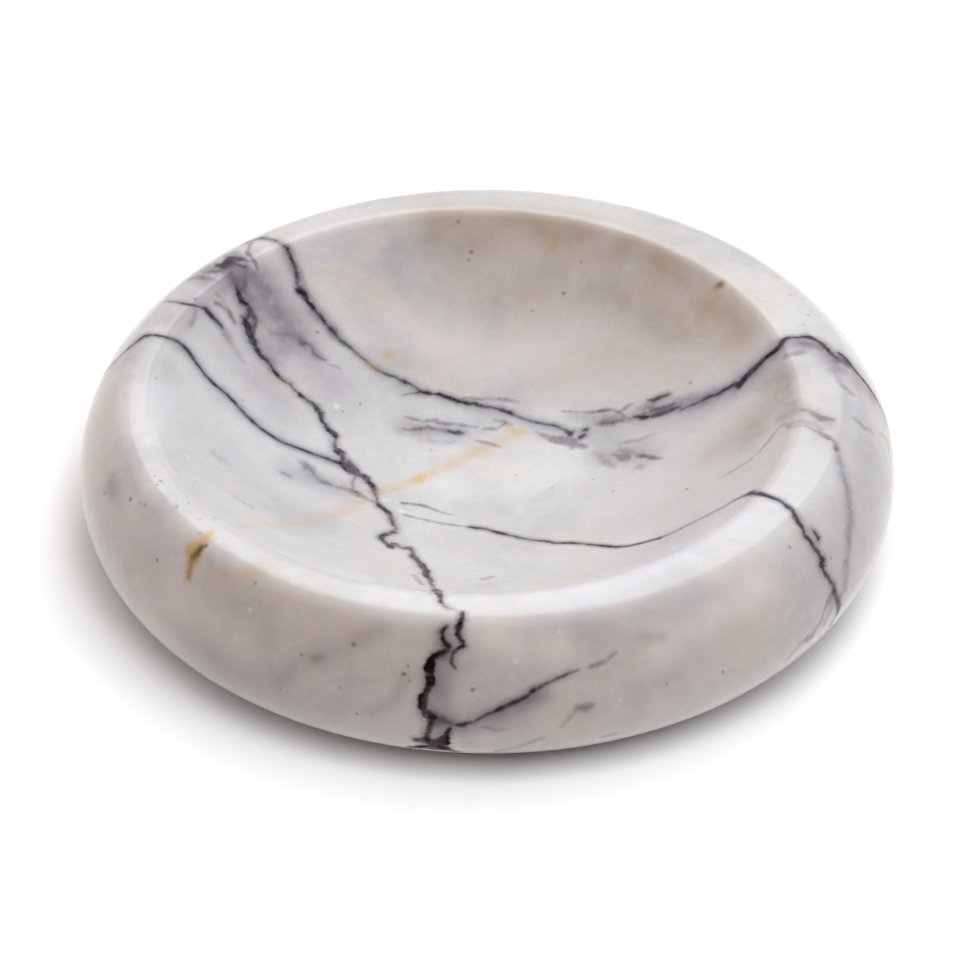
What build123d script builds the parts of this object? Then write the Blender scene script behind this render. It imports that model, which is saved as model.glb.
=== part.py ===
from build123d import *
import math
import os

# A low round ring dish, turned from one block of veined marble, on four small soft pads.
# The origin is the centre of the circle that it stands on. +Z is up and the front faces -Y.
# Lengths are in millimetres. Heights of the stone are measured from its own underside.

# The outside of the stone: two round arcs that meet at the widest circle, the belly.
# The lower one turns inwards by an angle in degrees and then runs on straight to the foot.
dish_radius = 50.0
belly_height = 11.7
lower_wall_radius = 10.0
underside_turn = 55.0
upper_wall_radius = 13.3

# The flat land on top of the rim, its rise above the belly, and its soft outer shoulder
rim_rise = 10.8
shoulder_rounding = 4.0

# The bowl is one sphere with a rolled lip, cut a little off the centre of the outside
rim_width = 10.5
floor_thickness = 7.1
bowl_offset = 1.7
lip_rounding = 2.4

# The soft pads stuck on the flat underside
pad_count = 4
pad_radius = 4.5
pad_thickness = 1.2
pad_circle_radius = 26.0

land_height = belly_height + rim_rise


def blank_section():
    # Half of the turned blank, from the axis outwards, with a solid top.
    upper_turn = math.degrees(math.asin(rim_rise / upper_wall_radius))
    upper_centre = (dish_radius - upper_wall_radius, belly_height)
    lower_centre = (dish_radius - lower_wall_radius, belly_height)
    with BuildSketch(Plane.XZ) as section:
        with BuildLine():
            upper_wall = CenterArc(upper_centre, upper_wall_radius, 0, upper_turn)
            lower_wall = CenterArc(lower_centre, lower_wall_radius, 0, -underside_turn)
            arc_end = lower_wall @ 1
            foot_radius = arc_end.X - arc_end.Y * math.tan(math.radians(underside_turn))
            Polyline(upper_wall @ 1, (0, land_height), (0, 0), (foot_radius, 0), arc_end)
        make_face()
        shoulder = section.vertices().sort_by_distance(upper_wall @ 1)[0]
        fillet(shoulder, shoulder_rounding)
    return section.sketch


def bowl_section():
    # Half of what is cut away: the sphere and then the lip, which rolls out onto the land.
    mouth_radius = dish_radius - rim_width
    bowl_depth = land_height - floor_thickness
    bowl_radius = (mouth_radius**2 + bowl_depth**2) / (2 * bowl_depth)
    centre_height = floor_thickness + bowl_radius
    lip_height = land_height - lip_rounding
    drop = centre_height - lip_height
    reach = math.sqrt((bowl_radius + lip_rounding) ** 2 - drop**2)
    turn = math.degrees(math.atan2(reach, drop))
    clear_height = land_height + lip_rounding
    with BuildSketch(Plane.XZ) as section:
        with BuildLine():
            CenterArc((0, centre_height), bowl_radius, -90, turn)
            lip = CenterArc((reach, lip_height), lip_rounding, 90 + turn, -turn)
            Polyline(lip @ 1, (reach, clear_height), (0, clear_height), (0, floor_thickness))
        make_face()
    return section.sketch


def marble_dish():
    # The blank without its bowl. The bowl stands a little to the left, so the land narrows there.
    blank = revolve(blank_section(), Axis.Z)
    bowl = Pos(-bowl_offset, 0, 0) * revolve(bowl_section(), Axis.Z)
    return Pos(0, 0, pad_thickness) * (blank - bowl)


def foot_pad(turn):
    # One soft round pad. Its upper face is stuck flat against the stone.
    disc = extrude(Circle(pad_radius), pad_thickness)
    return Rot(0, 0, turn) * Pos(pad_circle_radius, 0, 0) * disc


def build_pieces():
    pieces = {"marble_dish": marble_dish()}
    pad_step = 360 / pad_count
    for index in range(pad_count):
        pieces[f"foot_pad_{index + 1}"] = foot_pad((index + 0.5) * pad_step)
    return pieces


os.makedirs("parts", exist_ok=True)
for node, shape in build_pieces().items():
    export_step(shape, f"parts/{node}.step")
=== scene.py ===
import math
import bpy
import numpy as np
from mathutils import Matrix, Vector, noise
from mathutils.bvhtree import BVHTree


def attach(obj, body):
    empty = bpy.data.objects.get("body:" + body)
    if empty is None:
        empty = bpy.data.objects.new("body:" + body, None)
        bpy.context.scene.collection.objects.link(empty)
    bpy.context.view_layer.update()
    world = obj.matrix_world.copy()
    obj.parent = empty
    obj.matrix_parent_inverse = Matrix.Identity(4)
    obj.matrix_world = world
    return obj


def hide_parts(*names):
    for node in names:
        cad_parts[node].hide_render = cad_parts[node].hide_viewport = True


# A polished marble ring dish on four soft pads, lit by softboxes on a white floor.
# The scene is in metres, in the frame of the CAD model. The dictionaries give sizes in mm.

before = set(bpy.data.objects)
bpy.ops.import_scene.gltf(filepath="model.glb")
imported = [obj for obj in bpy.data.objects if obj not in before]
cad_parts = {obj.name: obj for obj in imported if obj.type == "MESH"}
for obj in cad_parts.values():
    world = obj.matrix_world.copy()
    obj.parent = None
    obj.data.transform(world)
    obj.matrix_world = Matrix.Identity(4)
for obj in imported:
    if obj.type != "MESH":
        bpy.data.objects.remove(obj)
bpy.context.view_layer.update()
mm = 0.001
tiny = 1e-6  # keeps a division from failing


def toLinear(shade):
    # a colour as seen on a screen, turned into the linear one that the nodes want
    return [c / 12.92 if c <= 0.04045 else ((c + 0.055) / 1.055) ** 2.4 for c in shade]


# The camera of the photograph

cameraSetup = {
    "photoSize": 969,  # the photograph is square, in pixels
    "lookAt": (0.0, 0.0, 11.2),
    "distance": 700.0,
    "elevation": 36.95,
    "roll": 0.315,
    "lens": 210.98,
    "sensor": 36.0,
    "shift": (-0.0028, -0.00984),
    "clip": (0.01, 20.0),  # in metres
}


def makeCamera(setup):
    data = bpy.data.cameras.new("photoCamera")
    data.lens = setup["lens"]
    data.sensor_width = setup["sensor"]
    data.shift_x, data.shift_y = setup["shift"]
    data.clip_start, data.clip_end = setup["clip"]
    made = bpy.data.objects.new("photoCamera", data)
    bpy.context.scene.collection.objects.link(made)
    raised = math.radians(setup["elevation"])
    back = Vector((0.0, -math.cos(raised), math.sin(raised)))
    roll = Matrix.Rotation(math.radians(setup["roll"]), 3, "Z").to_quaternion()
    made.rotation_mode = "QUATERNION"
    made.rotation_quaternion = (-back).to_track_quat("-Z", "Y") @ roll
    made.location = Vector(setup["lookAt"]) * mm + back * setup["distance"] * mm
    bpy.context.scene.camera = made
    bpy.context.view_layer.update()
    return made


def photoRay(x, y):
    # where a pixel of the photograph looks from, and which way
    size = cameraSetup["photoSize"]
    spread = cameraSetup["sensor"] / cameraSetup["lens"]
    shiftX, shiftY = cameraSetup["shift"]
    across = (x / size - 0.5 + shiftX) * spread
    up = (0.5 - y / size + shiftY) * spread
    turn = camera.matrix_world.to_quaternion()
    return camera.matrix_world.translation, turn @ Vector((across, up, -1)).normalized()


camera = makeCamera(cameraSetup)
print("camera set")

# The stone: rings of points, from the middle of the bowl over the rim to the underside

dishShape = {
    "radius": 50.0,
    "bellyHeight": 11.7,
    "lowerWallRadius": 10.0,
    "undersideTurn": 55.0,
    "upperWallRadius": 13.3,
    "rimRise": 10.8,
    "shoulderRounding": 4.0,
    "rimWidth": 10.5,
    "floorThickness": 7.1,
    "bowlOffset": 1.7,  # the bowl sits this far to the left
    "lipRounding": 2.4,
    "footRounding": 2.0,
    "padThickness": 1.2,
    "ringStep": 0.45,
    "tightStepShare": 0.6,  # of the ring step, on the lip and the shoulder
    "coneStepShare": 1.5,
    "baseStepShare": 3.0,
    "middleRadius": 1.0,  # of the last ring round the middle of the base
    "columns": 608,
    "columnsHalveBelow": 22.0,  # the columns halve here and at each half of this radius
    "fewestColumns": 20,
}


def arcStations(centre, radius, start, turn, step):
    # points along an arc of the section, without its first one; angles in degrees
    count = max(3, math.ceil(radius * math.radians(abs(turn)) / step))
    angles = [math.radians(start + turn * (i + 1) / count) for i in range(count)]
    return [(centre[0] + radius * math.cos(a), centre[1] + radius * math.sin(a)) for a in angles]


def lineStations(start, end, step):
    count = max(2, math.ceil(math.dist(start, end) / step))
    return [
        (start[0] + (end[0] - start[0]) * (i + 1) / count, start[1] + (end[1] - start[1]) * (i + 1) / count)
        for i in range(count)
    ]


def dishStations(shape):
    # (radius, height, shift of the ring's centre) from the bowl's middle round to the underside's
    step = shape["ringStep"]
    tightStep = step * shape["tightStepShare"]
    land = shape["bellyHeight"] + shape["rimRise"]
    mouth, depth = shape["radius"] - shape["rimWidth"], land - shape["floorThickness"]
    bowlRadius = (mouth**2 + depth**2) / (2 * depth)
    bowlCentre = (0.0, shape["floorThickness"] + bowlRadius)
    lipRadius = shape["lipRounding"]
    drop = bowlCentre[1] - land + lipRadius
    reach = math.sqrt((bowlRadius + lipRadius) ** 2 - drop**2)
    turn = math.degrees(math.atan2(reach, drop))
    lipCentre = (reach, land - lipRadius)
    upperCentre = (shape["radius"] - shape["upperWallRadius"], shape["bellyHeight"])
    shoulderRadius = shape["shoulderRounding"]
    inside = shape["upperWallRadius"] - shoulderRadius
    shoulderRise = land - shoulderRadius - shape["bellyHeight"]
    shoulderCentre = (upperCentre[0] + math.sqrt(inside**2 - shoulderRise**2), land - shoulderRadius)
    shoulderEnd = math.degrees(math.asin(shoulderRise / inside))
    lowerCentre = (shape["radius"] - shape["lowerWallRadius"], shape["bellyHeight"])
    underTurn = shape["undersideTurn"]
    bowl = arcStations(bowlCentre, bowlRadius, -90, turn, step)
    lip = arcStations(lipCentre, lipRadius, 90 + turn, -turn, tightStep)
    shoulder = arcStations(shoulderCentre, shoulderRadius, 90, shoulderEnd - 90, tightStep)
    upper = arcStations(upperCentre, shape["upperWallRadius"], shoulderEnd, -shoulderEnd, step)
    lower = arcStations(lowerCentre, shape["lowerWallRadius"], 0, -underTurn, step)
    # the foot's edge is rounded off between the straight underside and the flat base
    lean = math.radians(underTurn)
    footRadius = lower[-1][0] - lower[-1][1] * math.tan(lean)
    setBack = shape["footRounding"] * math.tan(math.radians(90 - underTurn) / 2)
    footCentre = (footRadius - setBack, shape["footRounding"])
    footStart = (footRadius + setBack * math.sin(lean), setBack * math.cos(lean))
    cone = lineStations(lower[-1], footStart, step * shape["coneStepShare"])
    foot = arcStations(footCentre, shape["footRounding"], -underTurn, underTurn - 90, step)
    base = lineStations(foot[-1], (shape["middleRadius"], 0.0), step * shape["baseStepShare"])
    lands = lineStations(lip[-1], (shoulderCentre[0], land), step)
    shifted = [(0.0, bowlCentre[1] - bowlRadius)] + bowl + lip
    stations = [(r, z, -shape["bowlOffset"]) for r, z in shifted]
    for i, (r, z) in enumerate(lands):
        stations.append((r, z, -shape["bowlOffset"] * (1 - (i + 1) / len(lands))))
    stations += [(r, z, 0.0) for r, z in shoulder + upper + lower + cone + foot + base]
    return stations + [(0.0, 0.0, 0.0)]


def columnsAt(radius, shape):
    count, limit = shape["columns"], shape["columnsHalveBelow"]
    while radius < limit and count > shape["fewestColumns"]:
        count, limit = count // 2, limit / 2
    return count


def stitchRings(stations, shape):
    # a grid of quads, with triangles where the number of columns changes
    points, rings, faces = [], [], []
    for r, z, shift in stations:
        count = 1 if r == 0 else columnsAt(r, shape)
        angles = 2 * math.pi * np.arange(count) / count
        rings.append((sum(len(p) for p in points), count))
        points.append(np.stack([r * np.cos(angles) + shift, r * np.sin(angles), np.full(count, z)], 1))
    for (first, count), (nextFirst, nextCount) in zip(rings, rings[1:]):
        finer = max(count, nextCount)
        for i in range(finer):
            a, b = (first + j * count // finer % count for j in (i, i + 1))
            c, d = (nextFirst + j * nextCount // finer % nextCount for j in (i, i + 1))
            faces.append(tuple(dict.fromkeys((a, c, d, b))))  # a corner met twice counts once
    return np.concatenate(points), faces


def makeDish(shape):
    points, faces = stitchRings(dishStations(shape), shape)
    points[:, 2] += shape["padThickness"]
    mesh = bpy.data.meshes.new("marbleDish")
    mesh.from_pydata((points * mm).tolist(), [], faces)
    mesh.shade_smooth()
    mesh.validate()
    made = bpy.data.objects.new("marbleDish", mesh)
    bpy.context.scene.collection.objects.link(made)
    return made, points, faces


dish, dishPoints, dishFaces = makeDish(dishShape)
dishTree = BVHTree.FromPolygons([Vector(p) for p in dishPoints], dishFaces)
print("stone made with", len(dishPoints), "points")

# The veins, followed over the photograph: (x, y) or (x, y, width) in its pixels


def trace(ink, width, path, soft=0.25, strength=0.97, jag=0.25, gaps=0.0):
    # width holds for the points that have none of their own. soft is the blur of the edge in mm,
    # strength is how much the vein covers, jag how far its edge wanders and gaps how broken it is
    return {
        "ink": ink, "width": width, "path": path,
        "soft": soft, "strength": strength, "jag": jag, "gaps": gaps}


def cloud(ink, width, amount, path):
    # a wide soft tint, width pixels across
    return {"ink": ink, "width": width, "amount": amount, "path": path}


veinInks = {
    "plum": (0.16, 0.06, 0.08),
    "wine": (0.14, 0.015, 0.04),
    "navy": (0.12, 0.09, 0.16),
    "indigo": (0.28, 0.24, 0.38),
    "slate": (0.36, 0.33, 0.40),
    "mauve": (0.40, 0.31, 0.35),
    "dusty": (0.57, 0.49, 0.51),
    "brown": (0.40, 0.28, 0.25),
    "rust": (0.55, 0.40, 0.14),
    "umber": (0.33, 0.18, 0.05),
    "ochre": (0.86, 0.70, 0.34),
    # the white of the painted glints
    "glintWhite": (1.0, 1.0, 1.0),
}

mainCrack = {
    "top": trace("navy", 5, jag=0.5, gaps=0.2, path=[
        (236, 286, 4), (238, 291, 5), (240, 297, 5), (242, 302, 6), (245, 304, 6), (249, 309, 7),
        (249, 315, 7.5), (245, 319, 8.5), (247, 326, 8), (249, 334, 7.5), (252, 340, 7), (254, 345, 6.5),
        (257, 351, 6), (262, 356, 7), (267, 360, 7), (270, 365, 6), (273, 370, 5), (277, 375, 4),
        (283, 380, 4), (290, 384, 4), (293, 388, 4), (297, 392, 4), (303, 397, 4), (310, 402, 4.5),
        (315, 406, 6), (319, 411, 6), (321, 416, 5), (322, 421, 4), (326, 424, 4), (326, 428, 5),
        (331, 432, 5), (336, 436, 5), (335, 441, 4), (334, 447, 5), (336, 451, 5), (341, 453, 6),
        (343, 458, 6), (342, 462, 6), (346, 468, 8), (350, 471, 7), (355, 474, 5), (362, 476, 5),
        (366, 479, 6), (371, 484, 5), (374, 490, 4), (377, 498, 3), (378, 505, 3)]),
    "waist": trace("plum", 4, strength=0.88, jag=0.5, gaps=0.15, path=[
        (378, 505, 3), (383, 508), (388, 512, 5), (391, 517, 5), (392, 522), (396, 528, 5), (394, 532),
        (387, 534), (379, 536, 4), (385, 542), (391, 547), (395, 544, 3), (399, 546, 3), (403, 548, 3),
        (409, 548, 3), (412, 551, 3), (413, 556, 4), (418, 561, 4), (422, 566, 5), (426, 571), (428, 577),
        (431, 582, 3), (433, 587, 2.5), (437, 591, 6), (440, 596, 6), (441, 602), (444, 605, 3),
        (449, 609, 2)]),
    "rightWall": trace("wine", 6, strength=1.0, jag=0.45, path=[
        (463, 613, 4), (461, 620, 7.5), (459, 628, 9), (458, 634, 7.5), (461, 640, 6), (463, 645, 6),
        (457, 649, 5.5), (453, 654, 5), (450, 660, 4), (452, 665, 3), (456, 668, 2)]),
    "leftWall": trace("wine", 7, strength=1.0, jag=0.45, path=[
        (446, 627, 4.5), (442, 633, 5.5), (443, 640, 6), (448, 645, 6.5), (447, 650, 7.5), (440, 655, 8),
        (434, 658, 10), (431, 664, 12), (430, 672, 14), (431, 680, 14), (430, 687, 12), (426, 693, 9),
        (423, 700, 12.5), (422, 706, 12.5), (424, 712, 10), (429, 713, 9), (432, 717, 10), (431, 722, 10),
        (429, 728, 10), (428, 734, 10), (427, 740, 11)]),
    "foot": trace("wine", 7, strength=1.0, jag=0.3, path=[
        (418, 740, 6), (425, 741, 9), (433, 743, 10), (440, 742, 10), (444, 738, 10), (447, 732, 7),
        (450, 729, 4)]),
    # partly the vein curving under and partly painted shadow: the dark contact along the bottom edge
    "veinAndShadowFootUnder": trace("wine", 7, strength=1.0, jag=0.3, path=[
        (422, 747, 7), (433, 748, 10), (444, 748, 8)]),
}
sideVeins = {
    "backRight": trace("navy", 4, strength=0.95, jag=0.5, gaps=0.1, path=[
        (262, 238, 2), (268, 239, 2), (275, 240, 2.5), (282, 244, 2.5), (287, 248, 4.5), (290, 254),
        (291, 259), (294, 265), (297, 272, 5.5), (298, 279, 5.5), (297, 286, 2.5), (300, 291, 6),
        (304, 293, 6), (306, 298, 4.5), (311, 305, 5.5), (314, 309, 5.5), (318, 314, 5), (322, 319, 3.5),
        (327, 325, 2.5), (331, 329, 4.5)]),
    "backMiddle": trace("navy", 3, strength=0.8, jag=0.3, gaps=0.15, path=[
        (331, 329, 3.5), (335, 333, 4), (338, 338, 4.5), (344, 343, 4), (350, 347, 3.5), (356, 353),
        (362, 358), (370, 365), (378, 370), (386, 374), (395, 377), (405, 382, 3.5)]),
    "backFloor": trace("navy", 4, strength=0.94, jag=0.3, gaps=0.1, path=[
        (405, 382, 3), (412, 385, 3), (416, 388, 3), (421, 392, 4), (428, 393, 4), (433, 394, 2.5),
        (440, 394, 4), (446, 397, 4), (452, 399, 5), (458, 401, 4.5), (467, 403.5, 4), (474, 403, 3),
        (480, 406, 4), (486, 407, 4), (492, 407.5, 3), (502, 410), (510, 413)]),
    "backEnd": trace("navy", 3, strength=0.85, jag=0.3, gaps=0.1, path=[
        (510, 413), (520, 418), (530, 421), (545, 424), (556, 426), (565, 430), (570, 434, 5),
        (574, 431, 2.5)]),
    "rightRim": trace("navy", 5, jag=0.35, gaps=0.1, path=[
        (681, 410, 3), (690, 406, 3), (698, 402, 2.5), (705, 399, 2.5), (712, 396, 3), (718, 394, 3.5),
        (724, 390, 4.5), (730, 387, 5), (735, 384, 4), (739, 386, 6), (745, 378, 7), (752, 371, 6.5),
        (760, 363, 5), (768, 356, 4.5), (775, 351, 4.5), (780, 346, 4), (783, 341, 4), (788, 337.5, 3.5),
        (794, 337.5, 2), (800, 337.5, 2), (806, 336, 3.5), (812, 338, 4), (818, 341, 4), (824, 346, 4),
        (832, 354, 3.5), (840, 361, 1.5)]),
    "rightRimLow": trace("navy", 2.5, strength=0.85, gaps=0.15, path=[
        (839, 353, 2), (845, 358), (852, 367), (860, 376), (868, 386), (874, 395), (880, 406, 2.5),
        (886, 417, 2)]),
    "frontRight": trace("slate", 3, soft=0.3, strength=0.8, jag=0.2, gaps=0.3, path=[
        (402, 503, 2), (411, 504), (420, 505), (428, 507), (437, 511), (447, 514, 2), (453, 515, 1)]),
    "frontLongStart": trace("plum", 2, soft=0.3, strength=0.6, jag=0.2, gaps=0.2, path=[
        (405, 515, 1.5), (417, 518), (430, 521), (445, 524), (460, 526), (470, 527)]),
    "frontLong": trace("plum", 2.5, strength=0.95, jag=0.2, gaps=0.1, path=[
        (470, 527, 2), (478, 528, 3), (486, 529, 3), (495, 532), (503, 534, 3), (513, 536), (521, 538),
        (532, 540, 2), (545, 541), (555, 543), (565, 543), (575, 543), (585, 544), (595, 545),
        (605, 546, 3), (617, 547, 3), (628, 546, 3), (638, 544), (649, 541), (660, 538)]),
    "frontLongEnd": trace("plum", 2, strength=0.75, jag=0.2, gaps=0.1, path=[
        (660, 538), (670, 534), (680, 529), (690, 524), (700, 519), (712, 513), (725, 506), (735, 500),
        (745, 495, 3), (752, 493, 3)]),
    "frontLip": trace("indigo", 3.5, strength=0.95, jag=0.2, path=[
        (750, 493, 3.5), (758, 493.5, 4), (765, 495), (774, 498), (782, 502), (788, 507)]),
    "frontWall": trace("plum", 4, strength=0.84, jag=0.45, path=[
        (789, 508, 3.5), (793, 511), (796, 517), (799, 523), (802, 527), (804, 532), (806, 537, 5),
        (811, 542), (815, 549, 5), (819, 554, 5), (823, 560, 5), (820, 564), (823, 570), (828, 577, 3.5),
        (831, 582, 2.5)]),
    "frontWallLow": trace("plum", 4, strength=0.62, jag=0.45, gaps=0.1, path=[
        (831, 582, 2.5), (834, 586, 5), (834, 591, 3.5), (836, 596, 3.5), (838, 602), (839, 608, 5),
        (837, 614, 3.5), (833, 621, 3.5), (830, 626, 2.5)]),
    "leftRim": trace("navy", 3, strength=0.9, jag=0.15, gaps=0.1, path=[
        (104, 375, 2), (110, 367, 2), (120, 356, 2), (130, 347, 2), (138, 341, 2), (144, 336, 3),
        (149, 335, 3), (155, 335, 2.5), (165, 337, 2.5), (172, 339), (178, 342), (184, 347, 4),
        (190, 354, 4), (195, 361), (200, 368), (206, 376), (213, 383), (220, 389), (227, 395), (234, 402),
        (240, 409, 3.5), (246, 415), (253, 422, 3.5), (260, 428), (267, 433, 2.5), (275, 438),
        (284, 443, 3.5), (292, 446), (300, 449), (308, 452), (316, 455), (325, 458), (333, 461),
        (340, 463)]),
}
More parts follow.
